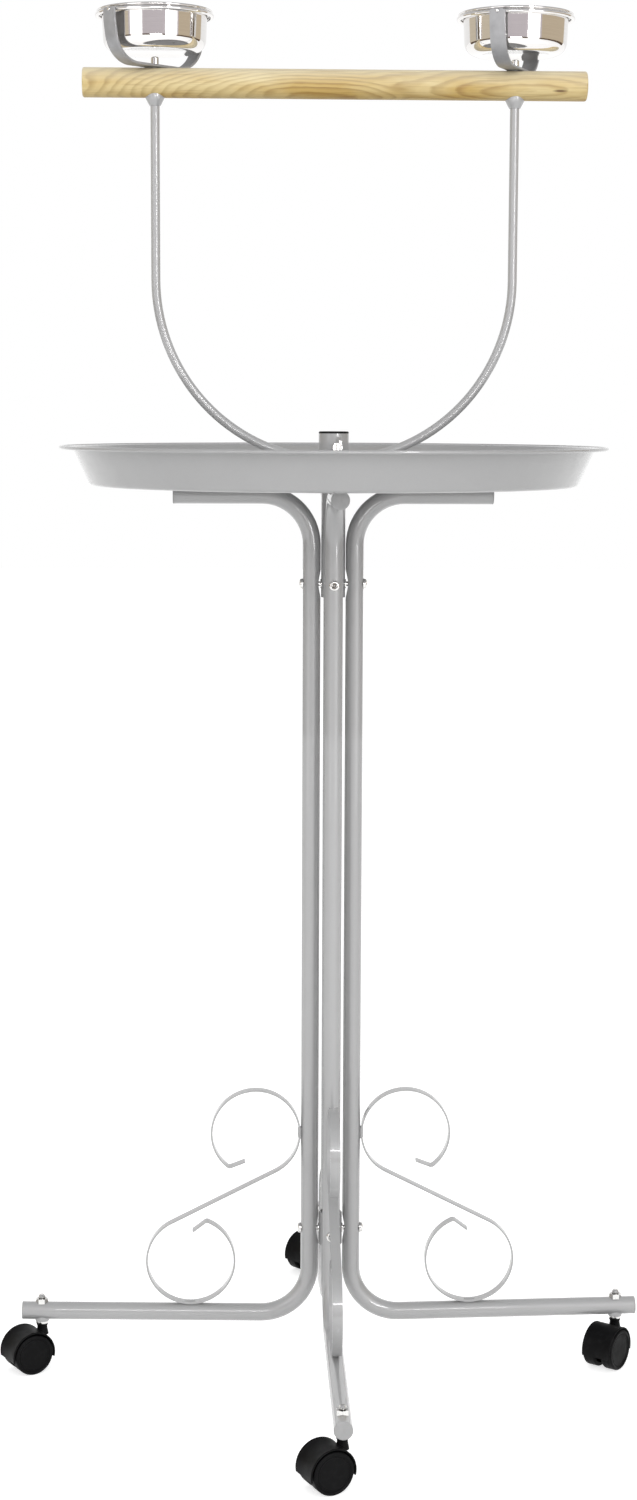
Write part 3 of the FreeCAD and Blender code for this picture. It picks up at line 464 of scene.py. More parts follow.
def spin_outline(outline: Outline, steps: int = 96, closed: bool = False,
                 sweep: float = 360.0) -> bmesh.types.BMesh:
    """Return the outline spun about the Z axis.

    Args:
        outline: the points to spin.
        steps: how many pieces the turn has.
        closed: whether the last point is joined to the first.
        sweep: the turn, in degrees; the ends of a part turn are closed.

    Returns:
        The mesh, with its seam and poles merged and its faces outwards.
    """
    bm = bmesh.new()
    verts = [bm.verts.new((radius, 0.0, height)) for radius, height in outline.points]
    edges = [bm.edges.new(pair) for pair in zip(verts, verts[1:])]
    full = sweep == 360.0
    if closed:
        edges.append(bm.edges.new((verts[-1], verts[0])))
    if not full:
        bm.faces.new(verts)
    bmesh.ops.spin(bm, geom=verts + edges + bm.faces[:], cent=(0, 0, 0), axis=(0, 0, 1),
                   angle=math.radians(sweep), steps=steps, use_merge=full)
    bmesh.ops.remove_doubles(bm, verts=bm.verts, dist=WELD_DISTANCE)
    bmesh.ops.recalc_face_normals(bm, faces=bm.faces)
    return bm


def sharp_edges(bm: bmesh.types.BMesh, degrees: float) -> list[bmesh.types.BMEdge]:
    """Return the edges whose faces meet at more than this angle."""
    return [edge for edge in bm.edges
            if len(edge.link_faces) == 2 and edge.calc_face_angle(0.0) > math.radians(degrees)]


def round_off(bm: bmesh.types.BMesh, width: float, segments: int = 2, degrees: float = 40.0) -> None:
    """Round the mesh's sharp edges."""
    bmesh.ops.bevel(bm, geom=sharp_edges(bm, degrees), offset=width, offset_type="OFFSET",
                    affect="EDGES", segments=segments, profile=0.5, material=-1, clamp_overlap=True)


def joined(meshes: list[bmesh.types.BMesh]) -> bmesh.types.BMesh:
    """Return several meshes as one."""
    whole = bmesh.new()
    for bm in meshes:
        part = bpy.data.meshes.new("part")
        bm.to_mesh(part)
        bm.free()
        whole.from_mesh(part)
        bpy.data.meshes.remove(part)
    return whole


def placed(bm: bmesh.types.BMesh, place: Matrix) -> bmesh.types.BMesh:
    """Return the mesh moved and turned."""
    bm.transform(place)
    return bm


def facing(direction: Vector, at: Vector) -> Matrix:
    """Return the placement that turns +Z to a direction and moves the origin to a point."""
    return Matrix.Translation(at) @ direction.to_track_quat("Z", "Y").to_matrix().to_4x4()


def make_piece(name: str, bm: bmesh.types.BMesh, finish: Finish, body: str,
               replaces: tuple[str, ...] = ()) -> bpy.types.Object:
    """Turn a mesh into a piece of the stand.

    Args:
        name: the piece's name.
        bm: its mesh, in place; it is used up.
        finish: its finish.
        body: the body that it moves with.
        replaces: the solids that it stands for.

    Returns:
        The new object.
    """
    mesh = bpy.data.meshes.new(name)
    bm.to_mesh(mesh)
    bm.free()
    mesh.polygons.foreach_set("use_smooth", [True] * len(mesh.polygons))
    mesh.set_sharp_from_angle(angle=math.radians(SHARP_SHADING))
    mesh.materials.append(finish.material())
    piece = bpy.data.objects.new(name, mesh)
    bpy.context.scene.collection.objects.link(piece)
    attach(piece, body)
    if replaces:
        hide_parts(*replaces)
    LOG.info("%s: %d faces on %s", name, len(mesh.polygons), body)
    return piece


def joint_place(name: str) -> Vector:
    """Return where the record's joint of this name is, in metres."""
    return Vector(next(found for found in frame["joints"] if found["name"] == name)["pos_m"])


def node_slots() -> dict[str, str]:
    """Return each solid's material slot."""
    return {part["node"]: part["material_slot"] for part in frame["record"]["subparts"]}


# ---- the stand ----

@dataclass
class SolidDress:
    """The solids that keep their own shape, dressed in the finish of their slot."""

    slots: dict[str, str] = field(default_factory=node_slots)

    def build(self) -> None:
        """Dress every solid."""
        for name, node in frame["nodes"].items():
            side = Side.LEFT if name.startswith("left") else Side.RIGHT
            finish = NODE_FINISHES.get(self.slots[name], CUP_FINISHES[side])
            for place in node.material_slots:
                place.material = finish.material()


@dataclass
class EasedSolids:
    """The solids whose edges are eased, as filing, tumbling and paint leave them."""

    flat: float = 0.6
    painted: float = 0.35 * MM
    strap: float = 0.45 * MM
    fastener: float = 0.3 * MM
    slots: dict[str, str] = field(default_factory=node_slots)

    def bodies(self) -> dict[str, tuple[str, float]]:
        """Return each solid's body and the width of its eased edges."""
        kept = {f"{side.word}_scroll": ("frame", self.painted) for side in Side}
        for side in (Side.LEFT, Side.RIGHT):
            kept[f"{side.word}_holder_strap"] = (f"{side.word}_holder", self.strap)
            kept[f"{side.word}_holder_rivets"] = (f"{side.word}_holder", self.fastener)
        for name in ("stem_nuts", "stem_washers", "upper_frame_screws", "lower_frame_screws"):
            kept[name] = ("frame", self.fastener)
        for name in ("centre_post", "lower_connector"):
            kept[name] = ("frame", self.painted)
        for name in ("hanger_sleeve", "perch_ferrules"):
            kept[name] = ("hanger", self.painted)
        kept["thumb_screw"] = ("sleeve_screw", self.strap)
        return kept

    def copy_of(self, node: str) -> bmesh.types.BMesh:
        """Return a merged copy of a solid, its flat triangles joined into faces."""
        bm = bmesh.new()
        bm.from_mesh(frame["nodes"][node].data)
        bmesh.ops.remove_doubles(bm, verts=bm.verts, dist=WELD_DISTANCE)
        bmesh.ops.dissolve_limit(bm, angle_limit=math.radians(self.flat), verts=bm.verts, edges=bm.edges)
        return bm

    def build(self) -> None:
        """Make the eased copies."""
        for node, (body, width) in self.bodies().items():
            bm = self.copy_of(node)
            round_off(bm, width)
            piece = make_piece(f"eased_{node}", bm, NODE_FINISHES[self.slots[node]], body, (node,))
            piece.modifiers.new("even_shading", "WEIGHTED_NORMAL").keep_sharp = True


@dataclass
class CasterStems:
    """The casters' stems, with a fine thread above the nuts."""

    reach: float = 272.0 * MM
    radius: float = 3.2 * MM
    pitch: float = 0.9 * MM
    thread_depth: float = 0.4 * MM
    threads: int = 11
    tip: float = 1.2 * MM
    tip_taper: float = 0.6
    flanks: tuple[float, float, float] = (0.35, 0.5, 0.85)

    def one(self, low: float, high: float) -> bmesh.types.BMesh:
        """Return one stem, upright on the Z axis between two heights."""
        start = high - self.tip - self.threads * self.pitch
        root = self.radius - self.thread_depth
        line = Outline().to(0, low).to(self.radius, low).to(self.radius, start)
        sunk, level, risen = (share * self.pitch for share in self.flanks)
        for turn in range(self.threads):
            foot = start + turn * self.pitch
            line.to(root, foot + sunk).to(root, foot + level)
            line.to(self.radius, foot + risen).to(self.radius, foot + self.pitch)
        return spin_outline(line.to(root - self.tip * self.tip_taper, high).to(0, high), 40)

    def build(self) -> None:
        """Make the four stems."""
        low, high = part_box("caster_stems")
        stems = [placed(self.one(low.z, high.z), Matrix.Rotation(math.radians(side.value), 4, "Z")
                        @ Matrix.Translation(Vector((self.reach, 0, 0)))) for side in Side]
        make_piece("threaded_stems", joined(stems), ZINC, "frame", ("caster_stems",))


@dataclass
class RodWelds:
    """The lumpy beads that join the two hanger rods to the sleeve."""

    arc_height: float = 1014.4 * MM
    arc_radius: float = 160.0 * MM
    seat: float = 13.9 * MM
    ring: float = 4.9 * MM
    bead: float = 1.5 * MM
    lumps: float = 0.45 * MM
    lump_scale: float = 420.0

    def one(self, sign: int) -> bmesh.types.BMesh:
        """Return the bead round the rod on one side."""
        section = Outline().arc(self.ring, 0, self.bead, 0, 330, 11)
        lean = math.asin(self.seat / self.arc_radius)
        height = self.arc_height - self.arc_radius * math.cos(lean)
        along = Vector((sign * math.cos(lean), 0, math.sin(lean)))
        place = facing(along, Vector((sign * self.seat, 0, height)))
        bm = placed(spin_outline(section, 48, closed=True), place)
        bm.normal_update()
        for vert in bm.verts:
            vert.co += vert.normal * self.lumps * noise.noise(vert.co * self.lump_scale)
        return bm

    def build(self) -> None:
        """Make both beads."""
        make_piece("rod_welds", joined([self.one(-1), self.one(1)]), FRAME_PAINT, "hanger")


@dataclass
class Tray:
    """The round pan, spun from thin sheet with a rolled rim and a turned-down hole."""

    sheet: float = 1.2 * MM
    hole: float = 11.9 * MM
    hole_lip: float = 3.6 * MM
    hole_bend: float = 0.9 * MM
    floor: float = 220.2 * MM
    wall_top: float = 235.0 * MM
    bead: float = 1.6 * MM
    foot_bend: float = 5.0 * MM
    rim_bend: float = 3.0 * MM
    steps: int = 288

    def outline(self) -> Outline:
        """Return the pan's closed section."""
        low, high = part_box("tray_pan")
        under = low.z + self.hole_lip
        rim = high.x - self.bead
        rim_height = high.z - self.bead
        flange = rim_height - self.sheet / 2
        lean = math.degrees(math.atan2(flange - under, self.wall_top - self.floor))
        half_turn = math.tan(math.radians(lean / 2))
        foot = self.floor - self.foot_bend * half_turn
        brow = self.wall_top + self.rim_bend * half_turn
        neck = self.hole + self.sheet + self.hole_bend
        line = Outline().to(self.hole, low.z).to(self.hole + self.sheet, low.z)
        line.arc(neck, under - self.hole_bend, self.hole_bend, 180, 90)
        line.arc(foot, under + self.foot_bend, self.foot_bend, -90, lean - 90)
        line.arc(brow, flange - self.rim_bend, self.rim_bend, lean + 90, 90)
        line.arc(rim, rim_height, self.bead, -125, 150, 16)
        line.arc(brow, flange - self.rim_bend, self.rim_bend + self.sheet, 90, lean + 90)
        line.arc(foot, under + self.foot_bend, self.foot_bend - self.sheet, lean - 90, -90)
        return line.arc(neck, under - self.hole_bend, self.hole_bend + self.sheet, 90, 180)

    def build(self) -> None:
        """Make the pan."""
        make_piece("spun_tray", spin_outline(self.outline(), self.steps, closed=True), SHADED_TRAY_PAINT,
                   "tray", ("tray_pan",))


@dataclass
class Cup:
    """One spun cup: a raised pad, a round corner, a wall and a rolled lip."""

    side: Side
    sheet: float = 1.0 * MM
    pad: float = 26.0 * MM
    pad_step: float = 3.0 * MM
    pad_depth: float = 0.8 * MM
    foot: float = 45.2 * MM
    shoulder: float = 46.6 * MM
    corner: float = 11.0 * MM
    lip_bead: float = 1.1 * MM
    lip_slope: float = 0.6 * MM
    lip_bend: float = 2.0 * MM
    lip_lean: float = 92.0
    steps: int = 192

    def outline(self) -> Outline:
        """Return the cup's closed section, from the pole underneath round to the pole inside."""
        low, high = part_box(f"{self.side.word}_cup")
        bead_radius = (high.x - low.x) / 2 - self.lip_bead
        bead_height = high.z - self.lip_bead
        line = Outline().to(0, low.z + self.pad_depth).to(self.pad, low.z + self.pad_depth)
        line.to(self.pad + self.pad_step, low.z)
        lean = math.degrees(math.atan2(bead_height - self.lip_slope - low.z, self.shoulder - self.foot))
        foot = (self.foot - self.corner * math.tan(math.radians(lean / 2)), low.z + self.corner)
        lip_under = bead_height - self.sheet / 2 - self.lip_slope
        brow = (self.shoulder + self.lip_bend, lip_under - self.lip_bend)
        line.arc(*foot, self.corner, -90, lean - 90, 12)
        line.arc(*brow, self.lip_bend, lean + 90, self.lip_lean)
        line.arc(bead_radius, bead_height, self.lip_bead, -120, 140, 14)
        line.arc(*brow, self.lip_bend + self.sheet, self.lip_lean, lean + 90)
        line.arc(*foot, self.corner - self.sheet, lean - 90, -90, 12)
        line.to(self.pad + self.pad_step, low.z + self.sheet)
        inside = low.z + self.pad_depth + self.sheet
        return line.to(self.pad, inside).to(0, inside)

    def build(self) -> None:
        """Make the cup."""
        low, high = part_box(f"{self.side.word}_cup")
        centre = Vector(((low.x + high.x) / 2, (low.y + high.y) / 2, 0))
        bm = placed(spin_outline(self.outline(), self.steps), Matrix.Translation(centre))
        make_piece(f"{self.side.word}_spun_cup", bm, CUP_FINISHES[self.side], f"{self.side.word}_bowl",
                   (f"{self.side.word}_cup",))


@dataclass
class Perch:
    """The wooden dowel, with its edges eased and its end faces faintly dished."""

    end_round: float = 1.8 * MM
    dish: float = 0.3 * MM
    dish_edge: float = 0.1 * MM
    dish_share: float = 0.6

    def build(self) -> None:
        """Make the dowel."""
        low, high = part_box("perch_dowel")
        radius = (high.z - low.z) / 2
        half = (high.x - low.x) / 2
        ring = radius * self.dish_share
        line = Outline().to(0, -half + self.dish).to(ring, -half + self.dish_edge)
        line.arc(radius - self.end_round, -half + self.end_round, self.end_round, -90, 0)
        line.arc(radius - self.end_round, half - self.end_round, self.end_round, 0, 90)
        line.to(ring, half - self.dish_edge).to(0, half - self.dish)
        place = facing(Vector((1, 0, 0)), Vector((0, 0, (low.z + high.z) / 2)))
        make_piece("turned_perch", placed(spin_outline(line, 128), place), PERCH_WOOD, "hanger",
                   ("perch_dowel",))


@dataclass
class EndCaps:
    """The plugs in the tubes' ends, with a domed flange and the pip of the mould."""

    node: str
    rise: float = 0.0
    radius: float = 8.2 * MM
    flange: float = 1.6 * MM
    dome: float = 0.9 * MM
    dome_foot: float = 0.05 * MM
    plug: float = 6.56 * MM
    skirt: float = 7.0 * MM
    pip: float = 0.9 * MM
    pip_floor: float = 0.8 * MM
    pip_depth: float = 0.15 * MM

    def one(self) -> bmesh.types.BMesh:
        """Return one cap, its flange from zero to its thickness along Z."""
        edge = self.flange - self.dome
        line = Outline().to(0, -self.skirt).to(self.plug, -self.skirt).to(self.plug, 0).to(self.radius, 0)
        line.to(self.radius, edge).arc(self.radius - self.dome, edge, self.dome, 10, 80, 5)
        line.to(self.radius / 2, self.flange - self.dome_foot).to(self.pip, self.flange)
        line.to(self.pip_floor, self.flange - self.pip_depth).to(0, self.flange - self.pip_depth)
        return spin_outline(line, 48)

    def build(self) -> None:
        """Make the four caps."""
        low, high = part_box(self.node)
        lean = math.radians(self.rise)
        reach = high.x - self.flange - self.radius * math.sin(lean)
        caps = []
        for side in Side:
            turn = Matrix.Rotation(math.radians(side.value), 4, "Z")
            out = turn @ Vector((math.cos(lean), 0, math.sin(lean)))
            seat = turn @ Vector((reach, 0, (low.z + high.z) / 2))
            caps.append(placed(self.one(), facing(out, seat)))
        make_piece(f"domed_{self.node}", joined(caps), GREY_CAP, "frame", (self.node,))


@dataclass
class Caster:
    """One twin-wheel caster: moulded hood, web and neck, and two wheels."""

    side: Side
    wheel: float = 19.0 * MM
    inner_face: float = 3.6 * MM
    outer_face: float = 15.4 * MM
    shoulder: float = 1.6 * MM
    dish: float = 16.2 * MM
    dish_depth: float = 0.9 * MM
    dish_edge: float = 0.2 * MM
    rim_edge: float = 0.4 * MM
    ring_rise: float = 0.25 * MM
    ring_steps: tuple[float, ...] = (2.4 * MM, 2.1 * MM, 1.6 * MM, 1.3 * MM, 0.5 * MM)
    grooves: tuple[float, ...] = (0.68, 0.32)
    groove_half: float = 0.35 * MM
    groove_floor: float = 0.15 * MM
    groove_depth: float = 0.3 * MM
    hub: float = 5.6 * MM
    hollow: float = 6.5 * MM
    hollow_edge: float = 0.6 * MM
    hollow_floor: float = 0.9 * MM
    bore: float = 2.46 * MM
    bore_end: float = 11.3 * MM
    hood_inner: float = 19.7 * MM
    hood_outer: float = 21.4 * MM
    hood_half: float = 14.8 * MM
    lip: float = 0.9 * MM
    hood_start: float = -13.0
    hood_sweep: float = 205.0
    web_half: float = 3.2 * MM
    web_hub: float = 8.0 * MM
    web_reach: float = 0.6 * MM
    web_round: float = 0.5 * MM
    neck: float = 4.7 * MM
    neck_flare: float = 1.2 * MM
    neck_swell: float = 0.2 * MM
    neck_foot: float = 33.0 * MM
    neck_flare_top: float = 5.0 * MM
    neck_swell_top: float = 6.0 * MM
    neck_ring: float = 5.3 * MM
    collar_round: float = 0.5 * MM
    collar_foot: float = 1.3 * MM
    collar_start: float = 1.9 * MM
    neck_top: float = 43.5 * MM
    stem: float = 3.26 * MM

    def __post_init__(self) -> None:
        """Read the caster's place from its joints."""
        pivot = joint_place(f"{self.side.word}_swivel")
        axle = joint_place(f"{self.side.word}_near_wheel_spin")
        turn = math.atan2(axle.y - pivot.y, axle.x - pivot.x)
        self.place = Matrix.Translation(axle) @ Matrix.Rotation(turn, 4, "Z")
        self.neck_place = Matrix.Translation(Vector((pivot.x, pivot.y, 0)))

    def wheel_mesh(self, turn: float) -> bmesh.types.BMesh:
        """Return one wheel about the axle: tread with two fine grooves, dished face, hollow back.

        Args:
            turn: the turn about X that lays the wheel on its side of the web, in degrees.

        Returns:
            The wheel in place.
        """
        outer, inner = self.outer_face, self.inner_face
        face = outer - self.dish_depth
        start, rise, fall, end, wall = (self.dish - step for step in self.ring_steps)
        line = Outline().to(0, face).to(start, face).to(rise, face + self.ring_rise)
        line.to(fall, face + self.ring_rise).to(end, face).to(wall, face)
        line.to(self.dish, outer - self.dish_edge).to(self.dish + self.rim_edge, outer)
        line.arc(self.wheel - self.shoulder, outer - self.shoulder, self.shoulder, 90, 0, 6)
        for groove in self.grooves:
            middle = inner + (outer - inner) * groove
            bottom = self.wheel - self.groove_depth
            line.to(self.wheel, middle + self.groove_half).to(bottom, middle + self.groove_floor)
            line.to(bottom, middle - self.groove_floor).to(self.wheel, middle - self.groove_half)
        line.arc(self.wheel - self.shoulder, inner + self.shoulder, self.shoulder, 0, -90, 6)
        line.to(self.dish - self.hollow_edge, inner).to(self.dish - self.hollow_floor, inner + self.hollow)
        line.to(self.hub, inner + self.hollow).to(self.hub, inner).to(self.bore, inner)
        line.to(self.bore, self.bore_end).to(0, self.bore_end)
        lay = Matrix.Rotation(math.radians(turn), 4, "X")
        return placed(spin_outline(line, 96), self.place @ lay)

    def hood_mesh(self) -> bmesh.types.BMesh:
        """Return the cover over both wheels, with a beaded lip at each side."""
        line = Outline()
        edge = self.hood_half - self.lip
        for height, first, last in ((-edge, -200, 40), (edge, -40, 200)):
            line.arc(self.hood_outer - self.lip * 0.55, height, self.lip * 0.9, first, last, 8)
        bm = spin_outline(line, 64, closed=True, sweep=self.hood_sweep)
        start = Matrix.Rotation(math.radians(180 + self.hood_start), 4, "Y")
        return placed(bm, self.place @ start @ Matrix.Rotation(math.radians(-90), 4, "X"))

    def disc(self, radius: float, segments: int) -> bmesh.types.BMesh:
        """Return a round plate as thick as the web, about the axle."""
        bm = bmesh.new()
        bmesh.ops.create_cone(bm, cap_ends=True, segments=segments, radius1=radius, radius2=radius,
                              depth=2 * self.web_half)
        return bm

    def web_mesh(self) -> bmesh.types.BMesh:
        """Return the plate between the wheels and the round hub on the axle."""
        bm = self.disc(self.hood_inner + self.web_reach, 96)
        plane = bmesh.ops.bisect_plane(bm, geom=bm.verts[:] + bm.edges[:] + bm.faces[:], dist=1e-7,
                                       plane_co=(0, 0, 0), plane_no=(0, 1, 0), clear_inner=True)
        rim = [item for item in plane["geom_cut"] if isinstance(item, bmesh.types.BMEdge)]
        bmesh.ops.holes_fill(bm, edges=rim)
        whole = joined([bm, self.disc(self.web_hub, 48)])
        round_off(whole, self.web_round)
        return placed(whole, self.place @ Matrix.Rotation(math.radians(90), 4, "X"))

    def neck_mesh(self) -> bmesh.types.BMesh:
        """Return the swivel neck with its collar."""
        foot, size, top = self.neck_foot, self.collar_round, self.neck_top
        line = Outline().to(self.stem, foot).to(self.neck + self.neck_flare, foot)
        line.to(self.neck + self.neck_swell, foot + self.neck_flare_top)
        line.to(self.neck, foot + self.neck_swell_top).to(self.neck, top - self.collar_start)
        line.arc(self.neck_ring - size, top - self.collar_foot, size, -70, 0, 4)
        line.arc(self.neck_ring - size, top - size, size, 0, 90, 4)
        line.to(self.stem, top)
        return placed(spin_outline(line, 48, closed=True), self.neck_place)

    def build(self) -> None:
        """Make the housing and both wheels."""
        word = self.side.word
        housing = joined([self.hood_mesh(), self.web_mesh(), self.neck_mesh()])
        make_piece(f"{word}_hood", housing, BLACK_NYLON, f"{word}_caster", (f"{word}_caster_housing",))
        for name, turn in (("near", -90.0), ("far", 90.0)):
            make_piece(f"{word}_{name}_roller", self.wheel_mesh(turn), BLACK_NYLON,
                       f"{word}_{name}_wheel", (f"{word}_caster_{name}_wheel",))


# ---- studio ----

@dataclass
class Studio:
    """A white floor and background, five lamps, and a plain room that only polished metal reflects."""

    focal: float = 59.87
    stand_turn: float = 2.343
    distance: float = 2.2745
    aside: float = -0.0007
    eye: float = 0.8986
    pitch: float = -7.739
    yaw: float = 0.32
    roll: float = 0.224
    daylight: float = 0.67
    aim_height: float = 0.75
    box_bearing: float = 39.0
    box_height: float = 1.3
    box_size: tuple[float, float] = (1.55, 3.4)
    box_shine: float = 1.15
    strip_bearing: float = 30.0
    strip_height: float = 1.55
    strip_size: tuple[float, float] = (0.40, 2.0)
    strip_shine: float = 18.0
    spark_bearing: float = 2.0
    spark_height: float = 0.95
    spark_distance: float = 1.6
    spark_size: tuple[float, float] = (0.7, 0.11)
    spark_shine: float = 16.0
    fill_height: float = 1.9
    fill_size: tuple[float, float] = (2.6, 1.8)
    fill_shine: float = 2.0
    floor_glow: float = 0.62
    floor_tone: Colour = (0.80, 0.80, 0.80)
    floor_size: float = 12.0
    room_radius: float = 4.5
    room_corner: float = 56.0
    room_end: float = 128.0
    wall_heights: tuple[float, float] = (0.75, 2.6)
    skirting_heights: tuple[float, float] = (0.02, 0.75)
    far_tone: Colour = (0.62, 0.57, 0.60)
    left_tone: Colour = (0.66, 0.58, 0.46)
    right_tone: Colour = (0.60, 0.50, 0.37)
    skirting_tone: Colour = (0.13, 0.09, 0.06)
    ceiling_height: float = 3.4
    ceiling_tone: Colour = (0.50, 0.50, 0.52)

    def camera(self) -> None:
        """Place the camera and make it the scene's own."""
        turn = Matrix.Rotation(math.radians(-self.stand_turn), 3, "Z")
        place = turn @ Vector((self.aside, -self.distance, self.eye))
        level = (turn @ Vector((-self.aside, self.distance, 0))).normalized()
        level.rotate(Matrix.Rotation(math.radians(self.yaw), 3, "Z"))
        pitch = math.radians(self.pitch)
        ahead = level * math.cos(pitch) + Vector((0, 0, math.sin(pitch)))
        right = ahead.cross(Vector((0, 0, 1))).normalized()
        upward = right.cross(ahead)
        roll = math.radians(self.roll)
        across = right * math.cos(roll) + upward * math.sin(roll)
        top = upward * math.cos(roll) - right * math.sin(roll)
        data = bpy.data.cameras.new("camera")
        data.sensor_width = 36.0
        data.lens = self.focal
        data.clip_start, data.clip_end = 0.1, 50.0
        camera = bpy.data.objects.new("camera", data)
        camera.matrix_world = Matrix.Translation(place) @ Matrix((across, top, -ahead)).transposed().to_4x4()
        bpy.context.scene.collection.objects.link(camera)
        bpy.context.scene.camera = camera

    def world(self) -> None:
        """Make a white world that lights plainly and shows white to the eye and to metal."""
        world = bpy.data.worlds.new("studio")
        bpy.context.scene.world = world
        world.use_nodes = True
        tree = world.node_tree
        back = tree.nodes["Background"]
        back.inputs["Color"].default_value = (1, 1, 1, 1)
        path = tree.nodes.new("ShaderNodeLightPath")
        total = path.outputs["Is Camera Ray"]
        for name in ("Is Glossy Ray", "Is Transmission Ray"):
            both = tree.nodes.new("ShaderNodeMath")
            both.operation = "MAXIMUM"
            tree.links.new(total, both.inputs[0])
            tree.links.new(path.outputs[name], both.inputs[1])
            total = both.outputs[0]
        level = tree.nodes.new("ShaderNodeMapRange")
        level.inputs["To Min"].default_value = self.daylight
        tree.links.new(total, level.inputs["Value"])
        tree.links.new(level.outputs[0], back.inputs["Strength"])

    def floor(self) -> None:
        """Lay a pale floor that keeps the stand's shadow."""
        bm = bmesh.new()
        bmesh.ops.create_grid(bm, x_segments=1, y_segments=1, size=self.floor_size)
        mesh = bpy.data.meshes.new("floor")
        bm.to_mesh(mesh)
        bm.free()
        graph = Graph("studio_floor")
        tree = graph.tree
        matte = graph.add("BsdfDiffuse", {"Color": (*self.floor_tone, 1)})
        glow = graph.add("Emission", {"Color": (1, 1, 1, 1)})
        path = graph.add("LightPath", {})
        seen = graph.add("Math", {0: path.outputs["Is Camera Ray"], 1: path.outputs["Is Glossy Ray"]},
                         operation="MAXIMUM")
        tree.links.new(graph.spread(seen.outputs[0], 0.0, self.floor_glow, 0.0, 1.0), glow.inputs["Strength"])
        both = graph.add("AddShader", {0: matte.outputs[0], 1: glow.outputs[0]})
        tree.nodes.remove(graph.surface)
        tree.links.new(both.outputs[0], tree.nodes["Material Output"].inputs["Surface"])
        mesh.materials.append(graph.material)
        floor = bpy.data.objects.new("floor", mesh)
        bpy.context.scene.collection.objects.link(floor)

    def soft_box(self, name: str, bearing: float, height: float, size: tuple[float, float],
                 shine: float, hidden_from: tuple[str, ...] = (), distance: float = 3.2) -> None:
        """Hang a rectangular lamp that faces the stand.

        Args:
            name: the lamp's name.
            bearing: where it hangs, in degrees to the right of the camera.
            height: how high it hangs.
            size: its width and height.
            shine: how bright its face is, where 1 is white.
            hidden_from: the kinds of ray that it adds nothing to.
            distance: how far from the stand's axis it hangs.
        """
        data = bpy.data.lights.new(name, "AREA")
        data.shape = "RECTANGLE"
        data.size, data.size_y = size
        data.energy = shine * math.pi * size[0] * size[1]
        lamp = bpy.data.objects.new(name, data)
        turn = math.radians(bearing - 90 - self.stand_turn)
        place = Vector((math.cos(turn), math.sin(turn), 0)) * distance + Vector((0, 0, height))
        aim = Vector((0, 0, self.aim_height)) - place
        lamp.matrix_world = Matrix.Translation(place) @ aim.to_track_quat("-Z", "Y").to_matrix().to_4x4()
        for kind in ("camera", *hidden_from):
            setattr(lamp, f"visible_{kind}", False)
        bpy.context.scene.collection.objects.link(lamp)

    def wall(self, name: str, bearings: tuple[float, float], heights: tuple[float, float],
             colour: Colour) -> None:
        """Stand a curved wall round the stand, seen by polished metal alone.

        Args:
            name: the wall's name.
            bearings: where it starts and ends, in degrees to the right of the camera.
            heights: its foot and its head.
            colour: its plain colour.
        """
        first, last = bearings
        start = math.radians(first - 90 - self.stand_turn)
        bm = bmesh.new()
        across = Vector((math.cos(start), math.sin(start), 0)) * self.room_radius
        foot, head = (bm.verts.new(across + Vector((0, 0, height))) for height in heights)
        edge = bm.edges.new((foot, head))
        bmesh.ops.spin(bm, geom=[foot, head, edge], cent=(0, 0, 0), axis=(0, 0, 1),
                       angle=math.radians(last - first), steps=48)
        self.panel(name, bm, colour)

    def ceiling(self) -> None:
        """Hang a grey ceiling over the stand, seen by polished metal alone."""
        bm = bmesh.new()
        bmesh.ops.create_circle(bm, cap_ends=True, segments=64, radius=self.room_radius,
                                matrix=Matrix.Translation(Vector((0, 0, self.ceiling_height))))
        self.panel("ceiling", bm, self.ceiling_tone)

    def panel(self, name: str, bm: bmesh.types.BMesh, colour: Colour) -> None:
        """Turn a mesh into a plain glowing part of the room that only reflections show.

        Args:
            name: the part's name.
            bm: its mesh; it is used up.
            colour: its plain colour.
        """
        mesh = bpy.data.meshes.new(name)
        bm.to_mesh(mesh)
        bm.free()
        graph = Graph(name)
        glow = graph.add("Emission", {"Color": (*colour, 1), "Strength": 1.0})
        graph.tree.nodes.remove(graph.surface)
        graph.tree.links.new(glow.outputs[0], graph.tree.nodes["Material Output"].inputs["Surface"])
        mesh.materials.append(graph.material)
        panel = bpy.data.objects.new(name, mesh)
        for unseen in ("camera", "diffuse", "shadow", "transmission", "volume_scatter"):
            setattr(panel, f"visible_{unseen}", False)
        bpy.context.scene.collection.objects.link(panel)

    def build(self) -> None:
        """Set up the studio."""
        bpy.context.scene.view_settings.view_transform = "Standard"
        self.camera()
        self.world()
        self.floor()
        corner, end = self.room_corner, self.room_end
        self.wall("far_wall", (-corner, corner), self.wall_heights, self.far_tone)
        self.wall("left_wall", (-end, -corner), self.wall_heights, self.left_tone)
        self.wall("right_wall", (corner, end), self.wall_heights, self.right_tone)
        self.ceiling()
        self.wall("skirting", (-end, end), self.skirting_heights, self.skirting_tone)
        for name, bearing in (("left_box", -self.box_bearing), ("right_box", self.box_bearing)):
            self.soft_box(name, bearing, self.box_height, self.box_size, self.box_shine)
        self.soft_box("strip", self.strip_bearing, self.strip_height, self.strip_size, self.strip_shine,
                      ("diffuse",))
        self.soft_box("spark", self.spark_bearing, self.spark_height, self.spark_size, self.spark_shine,
                      ("diffuse",), self.spark_distance)
        self.soft_box("fill", 0.0, self.fill_height, self.fill_size, self.fill_shine, ("glossy",))


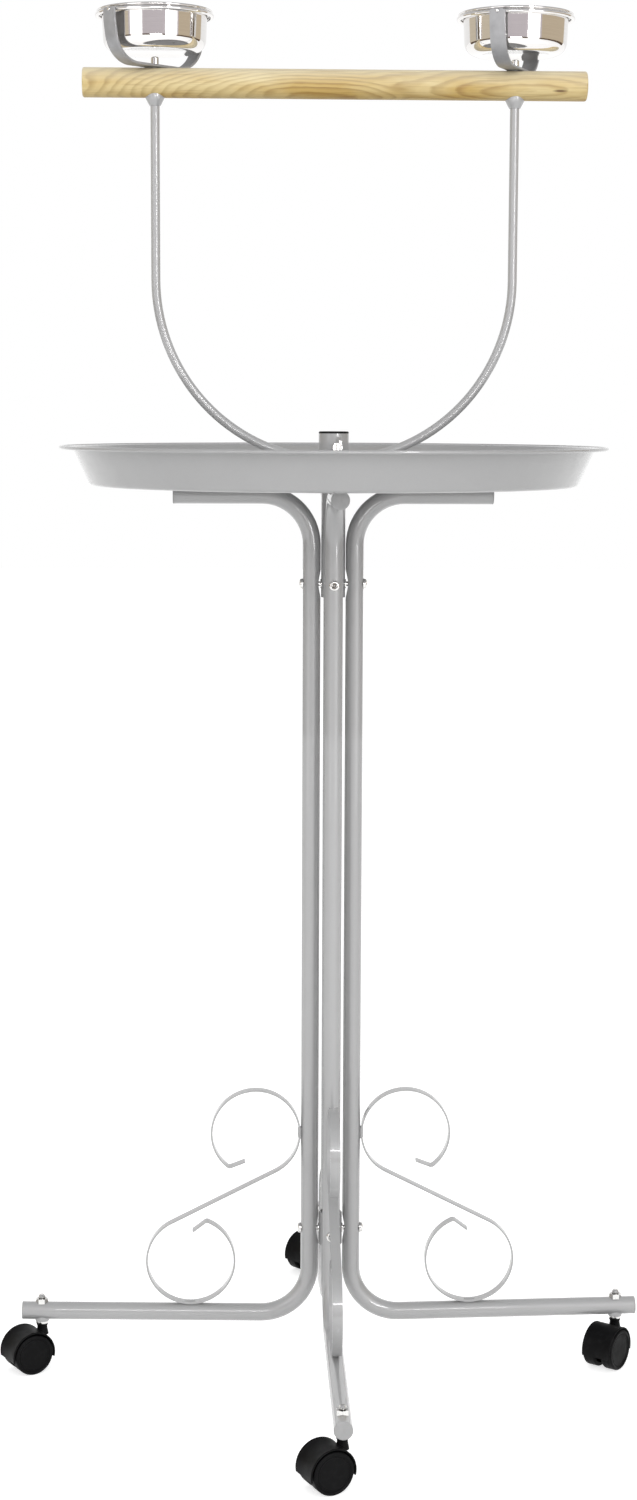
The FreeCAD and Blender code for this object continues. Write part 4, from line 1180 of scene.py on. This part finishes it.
def main() -> None:
    """Build the stand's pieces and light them."""
    logging.basicConfig(level=logging.INFO, format="%(name)s: %(message)s")
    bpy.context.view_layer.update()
    SolidDress().build()
    Tray().build()
    EasedSolids().build()
    CasterStems().build()
    RodWelds().build()
    Perch().build()
    for side in (Side.LEFT, Side.RIGHT):
        Cup(side).build()
    EndCaps("arm_end_caps").build()
    EndCaps("leg_end_caps", rise=1.0).build()
    for side in Side:
        Caster(side).build()
    Studio().build()


if __name__ == "__main__":
    main()
